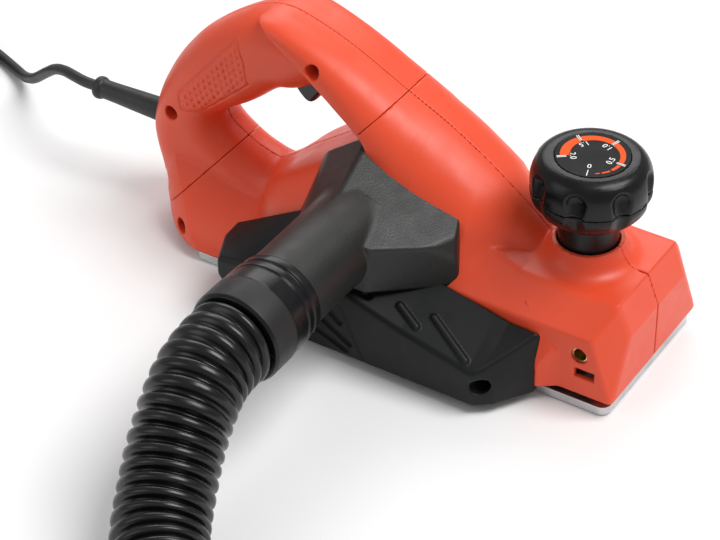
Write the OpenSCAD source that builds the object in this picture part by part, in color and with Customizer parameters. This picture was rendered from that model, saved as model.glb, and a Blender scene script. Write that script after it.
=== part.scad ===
// Electric hand planer with a dust hose on its chip port.
// X runs forward, Y to the left, Z up; the rear sole is the plane z = 0.
// The origin lies on the rear sole, at the lip just behind the cutter mouth.

/* [Sole] */
// Width of both sole plates
sole_w = 90; // [80:1:110]
// Distance from the mouth lip back to the heel of the rear sole
rear_sole_len = 151; // [145:1:155]
// Thickness of the rear sole plate
sole_t = 5; // [4:0.5:5]
// Depth of cut at rest: how far the front shoe stands above the rear sole
cut_depth = 0.5; // [0:0.1:1]
// Thickness of the front shoe plate
shoe_t = 4.5; // [4:0.5:5]

/* [Cutter] */
// Radius swept by the blade edges
cut_r = 23.5; // [22:0.5:24]
// Radius of the drum body
drum_r = 20; // [18:0.5:21]
// Width of the blades, which is the planing width
blade_w = 82; // [76:1:82]
// Radius of the drum shaft and of the armature shaft
shaft_r = 4; // [3.5:0.1:4]
// Running clearance of every shaft and spindle in its bore
run_gap = 0.05; // [0.02:0.01:0.1]

/* [Motor] */
// Radius of the stator core
stator_r = 27; // [25:0.5:27]
// Radius of the armature core
armature_r = 15.5; // [14:0.5:15.5]
// Radius of the driven pulley
drum_pulley_r = 10.5; // [9:0.5:10.5]
// Radius of the motor pulley
motor_pulley_r = 6; // [5:0.5:6]

/* [Depth knob] */
// Largest radius of the knob
knob_r = 29.5; // [26:0.5:30]
// Radius of the knob's neck
neck_r = 15; // [13:0.5:15]
// Height of the knob's top face
knob_top_z = 114; // [112:1:118]
// Radius of the black scale disc
dial_r = 18; // [16:0.5:20]

/* [Housing] */
// Half width of the lower housing
body_hw = 45; // [44:0.5:46]
// Half width of the shoulder above it
shoulder_hw = 35; // [33:0.5:35]
// Half width of the crown
crown_hw = 24; // [22:0.5:25]
// Half width of the handle
grip_hw = 19.5; // [18:0.5:20]
// Wall thickness of the housing shells
wall = 3; // [2.5:0.5:3]

/* [Dust port and hose] */
// Outside radius of the adapter's spout
spout_r = 21.6; // [20:0.2:21.6]
// Diameter of the hose over its rings
hose_d = 45; // [40:1:46]

/* [Cord] */
// Diameter of the mains cord
cord_d = 6; // [5:0.5:7]

/* [Hidden] */
$fn = 48;
e = 0.01;
lip_x = 1.5;
mouth_x = 31.2;
drum_x = 14;
drum_z = cut_r;
motor_x = -84;
motor_z = 36;
knob_x = 57;
collar_z = 66;
chamber_r = cut_r + 3.5;
bearing_r = 11;
cheek_y = [42, 45, 49];
pulley_y = [51.5, 59];
belt_t = 1.2;
cover_y = 76;
cord_z = 48.5;
spout_x = -45;
spout_z = 64.5;
spout_y = [66, 115];
cuff_y = [110, 153];
switch_x = -107;
lock_x = -99;
lock_z = 121;
trigger_pivot = [-85, 112];
trigger_pin_r = 2;
brush_far = 21;

// Outline of crown, handle and tail, seen from the right side, as [x, z].
outline = [
    [-151, 5.3], [-166, 8], [-179, 15], [-189, 26], [-194.5, 40], [-195.5, 52],
    [-189, 72], [-178, 92], [-164, 110], [-148, 124], [-130, 135], [-113, 140.5],
    [-93, 135.5], [-72, 127.5], [-47, 114.5], [-18, 100.5], [6, 85], [22, 72.5],
    [36, 60], [86, 56], [94, 8.5], [30, 8.5], [-2, 5.3]
];
// The opening for the fingers between handle and housing.
hand_gap = [
    [-153, 65], [-150, 60], [-137, 50.8], [-121, 45.6], [-112, 51], [-103, 60],
    [-79, 78], [-64, 92], [-82, 110], [-92, 104], [-103, 98], [-115, 95.6],
    [-132, 80], [-145, 71]
];
lower_outline = [
    [-151, 5.3], [-162, 9], [-156, 20], [-128, 24], [-118, 44], [-108, 56],
    [-98, 57], [12, 57], [40, 56], [86, 44], [94, 8.5], [30, 8.5], [-2, 5.3]
];
shoulder_outline = [
    [-118, 20], [-115, 44], [-103, 60], [-79, 76], [-64, 90], [-47, 96],
    [-18, 84], [6, 72], [30, 62], [80, 52], [80, 20]
];
// The handle shells part from the housing along two parallel 50 degree lines.
handle_zone = [
    [-220, -40.6], [-128.5, 67.4], [-64, 91.4], [-15, 149], [-15, 170], [-220, 170]
];
below_handle = [
    [-220, -200], [-220, -40.6], [-128.5, 67.4], [-64, 91.4], [-15, 149],
    [100, 149], [100, -200]
];
handle_room = [
    [-190, 42], [-191.5, 52], [-185.5, 70.5], [-175, 90], [-161.5, 107],
    [-146, 120.5], [-129, 131], [-113, 137], [-94, 132], [-74, 124.5], [-71, 114],
    [-82, 114], [-93, 108], [-104, 102], [-116, 99.5], [-134, 83.5], [-147.5, 74.5],
    [-157, 66.5], [-157, 58], [-165, 46], [-172, 36], [-184, 30]
];
crown_room = [
    [-66, 119], [-47, 110], [-19, 96.5], [4, 81.5], [19, 69], [30, 58],
    [30, 52], [-34, 52], [-60, 76], [-61, 94], [-68, 100]
];
duct_outline = [
    [-12, 50], [40, 50], [38, 54], [16, 58.5], [-10, 66], [-24, 72], [-27, 70], [-27, 60]
];
duct_inside = [
    [-9, 49], [37, 49], [36, 52.5], [15, 56.5], [-11, 64], [-23.5, 69.5], [-24.8, 68.5],
    [-24.8, 61]
];
cheek_outline = [
    [-34, 5], [-34, 38], [-12, 50], [40, 50], [46, 44], [46, 9], [30, 9],
    [30, 1.5], [0, 1.5], [0, 5]
];
// Belt cover: outer face, foot against the housing, and the room inside.
cover_face = [
    [-109, 29], [-109, 36], [-33, 42.5], [-3, 34], [34, 25], [46, 25], [48, 12],
    [37, 5], [-61, 4.8]
];
cover_foot = [
    [-118, 27], [-118, 36], [-106, 48], [-82, 55], [6, 45], [41, 37], [57.5, 22],
    [57.5, 5], [-80, 4.8]
];
cover_belt_room = [
    [-105, 29], [-105, 40], [-98, 45], [-76, 45], [-74, 42.9], [12, 36.9],
    [28, 33.5], [42, 27], [44, 12], [36, 7], [-60, 7]
];
cover_outer_room = [
    [-105, 31], [-105, 35], [-60, 38.4], [-33, 38.4], [-3, 31.4], [30, 23.4],
    [42, 22], [44, 13], [36, 7.5], [-60, 7]
];
adapter_saddle = [[-76, 44.8], [12, 38.4], [12, 90], [-76, 90]];

// Screws as [x, z, y of the head's outer face, length].
handle_screws = [[-85, 124, -13, 24], [-176, 65, -12, 22], [-181, 22, -12, 22]];
body_screws = [[-158, 12.5, -34, 50], [-52, 84, -27, 40]];
screw_r = 1.8;
screw_head_r = 3.4;
counterbore_r = 4.6;
cover_screw_at = [40, 16.3];
fence_hole = [78, 32];
fence_hole_r = 3.4;
fence_slot = [76, 19.3, 10.5, 5];

// Mains cord: free route from the strain relief to the coil, then the coil.
cord_route = [
    [-239, 0, 48.5], [-247, 0, 48.5], [-256, 2, 48], [-265, 5.5, 46], [-274, 9, 42],
    [-283, 13, 35], [-292, 18, 27], [-301, 23, 19], [-310, 29, 12], [-320, 35, 6.5],
    [-331, 41, 4], [-342, 46, 3], [-353, 50, 3], [-364, 53, 3]
];
coil_centre = [-392, 20];
coil_inner_r = 24;
coil_outer_r = 42;
coil_h = 24;
plug_z = 14.2;
plug_x = coil_centre[0] - coil_outer_r + cord_d / 2;
plug_y = 8;

// Hose: free route from the cuff on the spout to the cuff on its far end.
hose_route = [
    [-45, -153, 64.5], [-45, -166, 64.5], [-44, -180, 62.5], [-41, -195, 57],
    [-37, -211, 47.5], [-31, -227, 38], [-22, -246, 29], [-9, -264, 24],
    [8, -285, 23], [28, -315, 23], [43, -354, 23], [50, -400, 23], [45, -446, 23],
    [28, -488, 23], [0, -525, 23], [-40, -556, 23], [-84, -574, 23], [-130, -580, 23],
    [-176, -574, 23], [-220, -558, 23], [-262, -537, 23], [-304, -518, 23],
    [-348, -506, 23], [-394, -500, 23]
];
hose_end = hose_route[len(hose_route) - 1];
hose_before_end = hose_route[len(hose_route) - 2];
end_cuff_dir = atan2(hose_end[1] - hose_before_end[1], hose_end[0] - hose_before_end[0]);

// ---- Helpers ----

// Extrudes an [x, z] outline from y_low to y_high.
module slab(points, y_low, y_high) {
    translate([0, y_high, 0])
        rotate([90, 0, 0])
            linear_extrude(y_high - y_low) polygon(points);
}

// A round bar along Y.
module bar_y(r, x, z, y_low, y_high) {
    translate([x, y_high, z])
        rotate([90, 0, 0]) cylinder(r = r, h = y_high - y_low);
}

// A round tube along Y.
module ring_y(r_out, r_in, x, z, y_low, y_high) {
    difference() {
        bar_y(r_out, x, z, y_low, y_high);
        bar_y(r_in, x, z, y_low - 1, y_high + 1);
    }
}

// A box from its low corner to its high corner.
module block(low, high) {
    translate(low) cube(high - low);
}

// Puts its child at the same place on the right and on the left.
module both_sides() {
    children();
    mirror([0, 1, 0]) children();
}

function unit(v) = v / norm(v);

// Direction of a route at point i, from its neighbours.
function heading(route, i) =
    unit(route[min(i + 1, len(route) - 1)] - route[max(i - 1, 0)]);

// A tube swept along a route that never runs straight up.
module swept_tube(route, r, sides) {
    n = len(route);
    points = [
        for (i = [0 : n - 1])
            let (t = heading(route, i), s = unit(cross([0, 0, 1], t)), u = cross(t, s))
            for (k = [0 : sides - 1])
                route[i] + r * (cos(360 * k / sides) * s + sin(360 * k / sides) * u)
    ];
    sides_faces = [
        for (i = [0 : n - 2], k = [0 : sides - 1])
            let (a = i * sides + k, b = i * sides + (k + 1) % sides)
            [a, a + sides, b + sides, b]
    ];
    first = [for (k = [0 : sides - 1]) k];
    last = [for (k = [0 : sides - 1]) (n - 1) * sides + sides - 1 - k];
    polyhedron(points, concat(sides_faces, [first], [last]), convexity = 8);
}

// ---- Housing ----

module screw_holes(screws) {
    for (s = screws) {
        bar_y(counterbore_r, s[0], s[1], -60, s[2] + 3);
        bar_y(screw_r, s[0], s[1], s[2] + 2, s[2] + s[3] + 0.2);
    }
}

module screw_bosses(screws) {
    for (s = screws) bar_y(counterbore_r + 1.9, s[0], s[1], -body_hw, body_hw);
}

module screws(list) {
    for (s = list) {
        difference() {
            bar_y(screw_head_r, s[0], s[1], s[2], s[2] + 3);
            translate([s[0], s[2] + 1, s[1]])
                rotate([90, 0, 0]) cylinder(r = 1.6, h = 3, $fn = 6);
        }
        bar_y(screw_r, s[0], s[1], s[2] + 3, s[2] + s[3]);
    }
}

module housing_outside() {
    difference() {
        union() {
            slab(outline, -crown_hw, crown_hw);
            slab(shoulder_outline, -shoulder_hw, shoulder_hw);
            slab(lower_outline, -body_hw, body_hw);
            slab(
                [[-118, 8], [-118, 50], [-108, 56], [46, 50], [54, 30], [54, 8.5]],
                body_hw - e, 54
            );
            bar_y(28, motor_x, motor_z, -body_hw, 54);
            translate([knob_x, 0, 40]) cylinder(r = 21, h = collar_z - 40);
        }
        slab(hand_gap, -70, 70);
    }
}

module housing_rooms() {
    // motor
    bar_y(30, motor_x, motor_z, -26, 24);
    bar_y(24, motor_x, motor_z, -41, 41);
    bar_y(bearing_r, motor_x, motor_z, -48, 48);
    bar_y(9.5, motor_x, motor_z, -60, 40);
    // cutter frame, which runs out to the belt side
    slab([[-36, 0], [-36, 52], [48, 52], [48, 0]], -70, 50);
    block([47, -41, 0], [84, 41, 50]);
    // chip duct and its port on the right side
    slab(duct_outline, -42, 32);
    slab(duct_inside, -60, -40);
    slab(crown_room, -20, 20);
    translate([knob_x, 0, 40]) cylinder(r = neck_r + 0.5, h = 40);
    // tail, behind the motor
    slab([[-148, 9], [-156, 14], [-154, 24], [-128, 28], [-118, 12]], -38, 38);
    slab([[-172, 18], [-181, 28], [-172, 36], [-157, 50], [-142, 44], [-140, 20]], -16, 16);
}

module body_shells() {
    difference() {
        union() {
            difference() {
                housing_outside();
                housing_rooms();
            }
            intersection() {
                union() {
                    screw_bosses(body_screws);
                    ring_y(14, bearing_r, motor_x, motor_z, -49, -39.5);
                    ring_y(14, bearing_r, motor_x, motor_z, 39.5, 53);
                }
                union() {
                    slab(outline, -crown_hw, crown_hw);
                    slab([[-170, 6], [-170, 56], [30, 56], [30, 6]], -49, 53);
                }
            }
        }
        slab(handle_zone, -60, 60);
        screw_holes(body_screws);
        bar_y(9.5, motor_x, motor_z, -60, -47.9);
        bar_y(6, fence_hole[0], fence_hole[1], -44, -30);
        bar_y(4, fence_hole[0], fence_hole[1], -60, -43);
        block(
            [fence_slot[0], -60, fence_slot[1]],
            [fence_slot[0] + fence_slot[2], -37, fence_slot[1] + fence_slot[3]]
        );
        for (x = [-140, -100, -50]) translate([x, 0, 0]) frame_screw_holes();
    }
}

module frame_screw_holes() {
    both_sides() translate([0, 40, 0]) cylinder(r = 2, h = 16);
}

module body_shell_right() {
    color("orangered") intersection() {
        body_shells();
        block([-260, -80, 0], [120, 0, 180]);
    }
}

module body_shell_left() {
    color("orangered") intersection() {
        body_shells();
        block([-260, 0, 0], [120, 80, 180]);
    }
}

module handle_shells() {
    difference() {
        union() {
            difference() {
                slab(outline, -grip_hw, grip_hw);
                slab(hand_gap, -60, 60);
                slab(handle_room, -16, 16);
            }
            intersection() {
                screw_bosses(handle_screws);
                slab(outline, -grip_hw, grip_hw);
            }
            // side flanges that carry the front of the handle
            difference() {
                both_sides() slab(
                    [[-108, 139], [-93, 135.5], [-72, 127.5], [-15, 99], [-64, 92],
                     [-82, 111], [-98, 124]],
                    15.9, crown_hw
                );
                slab(hand_gap, -60, 60);
            }
        }
        slab(below_handle, -60, 60);
        screw_holes(handle_screws);
        block([-114, -6.6, 88], [-77, 6.6, 116]);
        bar_y(trigger_pin_r, trigger_pivot[0], trigger_pivot[1], -9, 9);
        bar_y(5.2, lock_x, lock_z, 9, 40);
        translate([-215, 0, cord_z]) rotate([0, 90, 0]) cylinder(r = 6.6, h = 30);
    }
}

module handle_shell_right() {
    color("orangered") intersection() {
        handle_shells();
        block([-260, -80, 0], [120, 0, 180]);
    }
}

module handle_shell_left() {
    color("orangered") intersection() {
        handle_shells();
        block([-260, 0, 0], [120, 80, 180]);
    }
}

module handle_screws_set() { color("dimgray") screws(handle_screws); }

module housing_screws() { color("dimgray") screws(body_screws); }

module fence_insert() {
    color("goldenrod")
        ring_y(6, fence_hole_r, fence_hole[0], fence_hole[1], -44, -30);
}

// ---- Belt cover ----

module belt_cover() {
    color([0.13, 0.13, 0.14]) difference() {
        hull() {
            slab(cover_face, -cover_y, -cover_y + 1.5);
            slab(cover_foot, -47, -45.1);
        }
        slab(cover_belt_room, -61, -40);
        bar_y(14.3, motor_x, motor_z, -49.4, -40);
        slab(cover_outer_room, -cover_y + 2, -60);
        slab(adapter_saddle, -90, -40);
        // louvres for the cooling air
        for (i = [0 : 2]) block([-56 + 8 * i, -90, 14], [-52.5 + 8 * i, -70, 30]);
        bar_y(counterbore_r, cover_screw_at[0], cover_screw_at[1], -90, -60);
        bar_y(4, -100, 34, -90, -66);
    }
    color([0.13, 0.13, 0.14]) difference() {
        bar_y(5.6, cover_screw_at[0], cover_screw_at[1], -60.5, -51);
        bar_y(screw_r, cover_screw_at[0], cover_screw_at[1], -70, -40);
        bar_y(counterbore_r, cover_screw_at[0], cover_screw_at[1], -70, -60);
    }
}

module belt_cover_screws() {
    color("dimgray") {
        bar_y(screw_head_r, cover_screw_at[0], cover_screw_at[1], -63, -60);
        bar_y(screw_r, cover_screw_at[0], cover_screw_at[1], -60, -46);
    }
}

// ---- Cutter frame, sole and duct ----

module base_frame() {
    color("silver") difference() {
        union() {
            block([-rear_sole_len, -sole_w / 2, 0], [lip_x, sole_w / 2, sole_t]);
            slab([[-34, 4], [-34, 38], [-12, 50], [4, 50], [4, 4]], -42, 42);
            both_sides() {
                slab(cheek_outline, cheek_y[0], cheek_y[1]);
                bar_y(bearing_r + 1.8, drum_x, drum_z, cheek_y[0], cheek_y[2]);
            }
            block([42, -42, 9], [46, 42, 50]);
            block([45, -30, 28], [82, 30, 36]);
        }
        bar_y(chamber_r, drum_x, drum_z, -42, 42);
        block([lip_x, -42, -1], [30, 42, 12]);
        bar_y(bearing_r, drum_x, drum_z, -60, 60);
        translate([knob_x, 0, 20]) cylinder(r = 8, h = 20);
        both_sides()
            translate([72, 20, 20]) cylinder(r = 3 + run_gap, h = 30);
        for (x = [-140, -100, -50]) both_sides() translate([x, 40, -1]) {
            cylinder(r = 2, h = 10);
            cylinder(r = 4, h = 3.5);
        }
        bar_y(screw_r, cover_screw_at[0], cover_screw_at[1], -60, -40);
    }
}

module frame_screws() {
    color("dimgray") for (x = [-140, -100, -50]) both_sides() translate([x, 40, 0.5]) {
        cylinder(r = 3.8, h = 2);
        cylinder(r = 2, h = 14);
    }
}

module chip_duct() {
    color([0.2, 0.2, 0.21]) difference() {
        slab(duct_outline, -34.8, 30);
        slab(duct_inside, -41, 28);
    }
}

module drum_bearings() {
    color("lightgray") both_sides()
        ring_y(bearing_r, shaft_r + run_gap, drum_x, drum_z, cheek_y[0], cheek_y[2]);
}

// ---- Dust adapter and hose ----

module adapter_form(inset) {
    hull() {
        slab([[-64 + inset, 47 + inset], [8 - inset, 44 + inset], [9 - inset, 57.5],
              [-66 + inset, 60]], -46, -45.1);
        slab([[-67 + inset, 62], [-55 + inset, 93 - inset], [-45, 94.5 - inset],
              [2 - inset, 71 - inset], [7 - inset, 62]], -36.2, -35.2);
        slab([[-30, 46 + inset], [4 - inset, 44.5 + inset], [6 - inset, 68 - inset],
              [-26, 70 - inset]], -56 + inset, -50);
        bar_y(spout_r - inset, spout_x, spout_z, -70 + inset, -66);
    }
}

module dust_adapter() {
    color([0.3, 0.3, 0.29]) difference() {
        union() {
            adapter_form(0);
            bar_y(spout_r, spout_x, spout_z, -spout_y[1], -spout_y[0]);
        }
        difference() {
            adapter_form(2.5);
            block([-100, -46.5, 0], [40, -40, 51]);
        }
        // clear of the housing's side wall
        block([-110, -body_hw - 0.1, 30], [40, -30, 57.2]);
        slab(duct_inside, -50, -30);
        bar_y(spout_r - 2.6, spout_x, spout_z, -spout_y[1] - 1, -60);
    }
}

module hose_cuff() {
    color([0.12, 0.12, 0.13]) difference() {
        union() {
            bar_y(spout_r + 1.6, spout_x, spout_z, -122, -spout_y[1]);
            bar_y(spout_r + 2.6, spout_x, spout_z, -cuff_y[1], -122);
        }
        bar_y(spout_r - 2.6, spout_x, spout_z, -cuff_y[1] - 1, -100);
    }
}

module dust_hose() {
    color([0.08, 0.08, 0.09]) swept_tube(hose_route, hose_d / 2, 12);
}

module hose_end_cuff() {
    color([0.12, 0.12, 0.13]) translate(hose_end)
        rotate([0, 0, end_cuff_dir]) rotate([0, 90, 0]) difference() {
            union() {
                cylinder(r = 22.8, h = 22);
                translate([0, 0, 22]) cylinder(r = 19, h = 38);
            }
            translate([0, 0, 4]) cylinder(r = 16, h = 60);
        }
}

// ---- Front shoe and depth setting ----

module front_shoe() {
    color("silver") translate([0, 0, cut_depth]) difference() {
        union() {
            block([mouth_x, -sole_w / 2, 0], [89, sole_w / 2, shoe_t]);
            block([80, -sole_w / 2 + 5, 0], [94, sole_w / 2 - 5, shoe_t]);
            both_sides() translate([89, sole_w / 2 - 5, 0]) cylinder(r = 5, h = shoe_t);
            translate([knob_x, 0, shoe_t - 1]) cylinder(r = 10, h = 21);
            both_sides() translate([72, 20, shoe_t - 1]) cylinder(r = 6, h = 5);
        }
        translate([knob_x, 0, 4]) cylinder(r = shaft_r + run_gap, h = 30);
        both_sides() translate([72, 20, 2]) cylinder(r = 3, h = 20);
    }
}

module shoe_guide_pins() {
    color("gray") translate([0, 0, cut_depth])
        both_sides() translate([72, 20, 2]) cylinder(r = 3, h = 36);
}

module depth_spindle() {
    color("gray") translate([knob_x, 0, 7]) {
        cylinder(r = shaft_r, h = 86);
        translate([0, 0, 53.5]) cylinder(r = 7, h = 6);
    }
}

module spindle_bush() {
    color("goldenrod") translate([knob_x, 0, 28]) difference() {
        union() {
            cylinder(r = 8, h = 8);
            translate([0, 0, 8]) cylinder(r = 11, h = 3);
        }
        translate([0, 0, -1]) cylinder(r = shaft_r + run_gap, h = 20);
    }
}

module detent_spring() {
    color("lightgray") translate([knob_x, 0, 39.2])
        difference() {
            cylinder(r = 10, h = 20.6);
            translate([0, 0, -1]) cylinder(r = 8.4, h = 30);
        }
}

module depth_knob_neck() {
    color([0.08, 0.08, 0.09]) translate([knob_x, 0, 0]) difference() {
        rotate_extrude() polygon([
            [0, 60.2], [neck_r, 60.2], [neck_r, 82], [neck_r + 5, 85.5],
            [knob_r - 3, 89], [knob_r, 94], [knob_r, 95.8], [0, 95.8]
        ]);
        translate([0, 0, 50]) cylinder(r = shaft_r, h = 43);
        translate([0, 0, 60]) cylinder(r = 7, h = 6.5);
    }
}

module depth_knob_cap() {
    color([0.08, 0.08, 0.09]) translate([knob_x, 0, 0]) difference() {
        rotate_extrude() polygon([
            [0, 96.2], [knob_r, 96.2], [knob_r, 103], [knob_r - 2.5, 109],
            [knob_r - 7, 112.8], [dial_r + 1.5, knob_top_z], [0, knob_top_z]
        ]);
        translate([0, 0, knob_top_z - 1]) cylinder(r = dial_r, h = 2);
        for (a = [0 : 45 : 359]) rotate([0, 0, a + 22.5])
            translate([knob_r + 9.5, 0, 90]) cylinder(r = 11, h = 20);
    }
    color([0.08, 0.08, 0.09]) translate([knob_x, 0, 95.8]) cylinder(r = knob_r - 1.5, h = 0.4);
}

module depth_dial() {
    color("black") translate([knob_x, 0, knob_top_z - 1]) cylinder(r = dial_r, h = 1);
}

// ---- Cutter ----

// Places its children at the drum's axis, with local Z radial, for both blades.
module at_blades() {
    for (a = [40, 220]) translate([drum_x, 0, drum_z]) rotate([0, a, 0]) children();
}

module cutter_drum() {
    half = blade_w / 2 - 0.5;
    color("darkgray") difference() {
        bar_y(drum_r, drum_x, drum_z, -half, half);
        bar_y(shaft_r, drum_x, drum_z, -50, 50);
        at_blades() block([-4, -half - 1, 11], [4, half + 1, 24]);
    }
}

module cutter_shaft() {
    color("gray") {
        bar_y(shaft_r, drum_x, drum_z, -60.8, 49);
    }
}

module planer_blades() {
    half = blade_w / 2;
    color("lightsteelblue") at_blades()
        block([-4, -half, 14], [-2.8, half, cut_r - 0.4]);
}

module blade_clamps() {
    half = blade_w / 2 - 1;
    color("slategray") at_blades() difference() {
        block([-2.8, -half, 11], [4, half, 18.6]);
        for (y = [-28, 0, 28]) translate([0.6, y, 14]) cylinder(r = 2, h = 6);
    }
}

module clamp_screws() {
    color("dimgray") at_blades() for (y = [-28, 0, 28])
        translate([0.6, y, 14]) cylinder(r = 2, h = 5);
}

module grooved_pulley(r, x, z) {
    color("gray") difference() {
        union() {
            bar_y(r, x, z, -pulley_y[1], -pulley_y[0]);
            bar_y(r + belt_t + 0.1, x, z, -pulley_y[0] - 0.6, -pulley_y[0]);
            for (i = [0 : 3]) bar_y(r - 0.7, x, z, -54 - 1.4 * i, -53.6 - 1.4 * i);
        }
        bar_y(shaft_r, x, z, -70, -40);
    }
}

module driven_pulley() { grooved_pulley(drum_pulley_r, drum_x, drum_z); }

module motor_pulley() { grooved_pulley(motor_pulley_r, motor_x, motor_z); }

module pulley_nut() {
    color("dimgray") difference() {
        translate([drum_x, -pulley_y[1], drum_z])
            rotate([90, 0, 0]) cylinder(r = 6.5, h = 1.6, $fn = 6);
        bar_y(shaft_r, drum_x, drum_z, -70, -40);
    }
}

// Outline of a belt of the given radii around both pulleys.
function belt_loop(r_drum, r_motor) =
    let (
        dx = drum_x - motor_x,
        dz = drum_z - motor_z,
        slope = atan2(dz, dx),
        open = acos((r_drum - r_motor) / norm([dx, dz])),
        steps = 16
    )
    concat(
        [for (i = [0 : steps])
            let (a = slope - open + 2 * open * i / steps)
            [drum_x + r_drum * cos(a), drum_z + r_drum * sin(a)]],
        [for (i = [0 : steps])
            let (a = slope + open + 2 * (180 - open) * i / steps)
            [motor_x + r_motor * cos(a), motor_z + r_motor * sin(a)]]
    );

module drive_belt() {
    gap = 0.15;
    color([0.1, 0.1, 0.1]) difference() {
        slab(belt_loop(drum_pulley_r + belt_t, motor_pulley_r + belt_t),
             -pulley_y[1] + 0.2, -pulley_y[0] - 0.8);
        slab(belt_loop(drum_pulley_r + gap, motor_pulley_r + gap), -70, -40);
    }
}

// ---- Motor ----

module armature_shaft() {
    color("gray") bar_y(shaft_r, motor_x, motor_z, -60.5, 48);
}

module armature_core() {
    color("slategray") difference() {
        bar_y(armature_r, motor_x, motor_z, -24, 16);
        bar_y(shaft_r, motor_x, motor_z, -30, 20);
        for (a = [0 : 30 : 359]) translate([motor_x, 0, motor_z]) rotate([0, a, 0])
            block([-0.8, -25, armature_r - 3], [0.8, 17, armature_r + 1]);
    }
}

module armature_windings() {
    color("chocolate") {
        ring_y(armature_r - 1.5, shaft_r, motor_x, motor_z, -28.4, -24);
        ring_y(armature_r - 1.5, shaft_r, motor_x, motor_z, 16, 21.5);
    }
}

module commutator() {
    color("peru") difference() {
        bar_y(11, motor_x, motor_z, 23, 34);
        bar_y(shaft_r, motor_x, motor_z, 20, 40);
        for (a = [0 : 15 : 359]) translate([motor_x, 0, motor_z]) rotate([0, a, 0])
            block([-0.3, 22, 9.8], [0.3, 35, 12]);
    }
}

module cooling_fan() {
    color("ivory") difference() {
        union() {
            bar_y(20.5, motor_x, motor_z, -38.6, -37);
            bar_y(8, motor_x, motor_z, -38.6, -30);
            for (a = [0 : 36 : 359]) translate([motor_x, 0, motor_z]) rotate([0, a, 0])
                block([-0.8, -37.2, 6], [0.8, -30.4, 20]);
        }
        bar_y(shaft_r, motor_x, motor_z, -45, -20);
    }
}

module motor_bearings() {
    color("lightgray") both_sides()
        ring_y(bearing_r, shaft_r + run_gap, motor_x, motor_z, 41, 48);
}

module stator_core() {
    color("slategray") difference() {
        bar_y(stator_r, motor_x, motor_z, -23.5, 15.5);
        bar_y(armature_r + 0.8, motor_x, motor_z, -30, 20);
        for (s = [-1, 1])
            translate([motor_x, 0, motor_z + s * (stator_r - 1)]) cube([60, 60, 3], center = true);
    }
}

module field_coils() {
    color("chocolate") for (y = [-25.9, 15.6]) difference() {
        ring_y(stator_r - 3, armature_r + 2, motor_x, motor_z, y, y + 2.3);
        block([motor_x - 40, -30, motor_z - 6], [motor_x + 40, 30, motor_z + 6]);
    }
}

module brush_holders() {
    color("goldenrod") for (s = [-1, 1]) difference() {
        translate([motor_x + s * (12 + brush_far) / 2, 28.5, motor_z])
            cube([brush_far - 12, 9, 8], center = true);
        translate([motor_x + s * 16, 28.5, motor_z])
            cube([20, 7, 6], center = true);
    }
}

module carbon_brushes() {
    color([0.15, 0.15, 0.16]) for (s = [-1, 1]) difference() {
        translate([motor_x + s * 14.5, 28.5, motor_z])
            cube([9, 6.9, 5.9], center = true);
        bar_y(11 + run_gap, motor_x, motor_z, 20, 40);
    }
}

module brush_caps() {
    color([0.1, 0.1, 0.1]) for (s = [-1, 1])
        translate([motor_x + s * (brush_far + 0.8), 28.5, motor_z])
            cube([1.5, 9, 8], center = true);
}

// ---- Handle inside ----

module switch_body() {
    color([0.15, 0.15, 0.16]) {
        block([switch_x - 14, -8, 116.5], [switch_x + 14, 8, 128]);
    }
}

module trigger() {
    color([0.08, 0.08, 0.09]) difference() {
        union() {
            slab([
                [-81, 108], [-81, 114.5], [-89, 115.5], [-111, 110], [-111.5, 104],
                [-107, 96], [-101, 90.5], [-97, 91], [-94, 96], [-88, 104]
            ], -6, 6);
        }
        bar_y(trigger_pin_r + run_gap, trigger_pivot[0], trigger_pivot[1], -10, 10);
    }
}

module trigger_pin() {
    color("gray") bar_y(trigger_pin_r, trigger_pivot[0], trigger_pivot[1], -9, 9);
}

module lock_off_button() {
    color([0.08, 0.08, 0.09]) {
        bar_y(5, lock_x, lock_z, 16.5, 23.5);
        bar_y(3, lock_x, lock_z, 12, 16.5);
    }
}

module suppressor_capacitor() {
    color("steelblue") block([-146, -7, 96], [-128, 7, 110]);
}

module cord_clamp() {
    color([0.1, 0.1, 0.1]) difference() {
        block([-179, -9, 44], [-171, 9, 53.5]);
        translate([-185, 0, cord_z]) rotate([0, 90, 0]) cylinder(r = cord_d / 2, h = 20);
        both_sides() translate([-175, 6.4, 40]) cylinder(r = 1.4, h = 20);
    }
}

module cord_clamp_screws() {
    color("dimgray") both_sides() translate([-175, 6.4, 46]) {
        cylinder(r = 1.4, h = 7.5);
        translate([0, 0, 7.5]) cylinder(r = 2.6, h = 1.8);
    }
}

// ---- Cord ----

module strain_relief() {
    color([0.08, 0.08, 0.09]) translate([-239, 0, cord_z]) rotate([0, 90, 0]) difference() {
        rotate_extrude() polygon([
            [0, 0], [5.2, 0], [6.2, 1.5], [6.2, 4], [5.5, 5.5], [6.5, 42],
            [6.5, 54], [0, 54]
        ]);
        translate([0, 0, 50]) cylinder(r = cord_d / 2, h = 10);
    }
}

module power_cord() {
    color([0.08, 0.08, 0.09]) {
        swept_tube(cord_route, cord_d / 2, 8);
    }
}

module cord_coil() {
    color([0.08, 0.08, 0.09]) translate([coil_centre[0], coil_centre[1], 0]) rotate_extrude()
        translate([coil_inner_r, 0]) square([coil_outer_r - coil_inner_r, coil_h]);
}

module plug_body() {
    color([0.08, 0.08, 0.09]) translate([plug_x, plug_y, plug_z]) rotate([90, 0, 0])
        intersection() {
            rotate_extrude() polygon([
                [0, 0], [4.5, 0], [5, 14], [9, 22], [16, 30], [17, 36], [17, 56], [0, 56]
            ]);
            translate([-17, -14, -1]) cube([34, 28, 80]);
        }
}

module plug_pins() {
    color("silver") for (s = [-1, 1])
        translate([plug_x + s * 9.5, plug_y - 56, plug_z]) rotate([90, 0, 0])
            cylinder(r = 2.4, h = 19);
}

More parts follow.
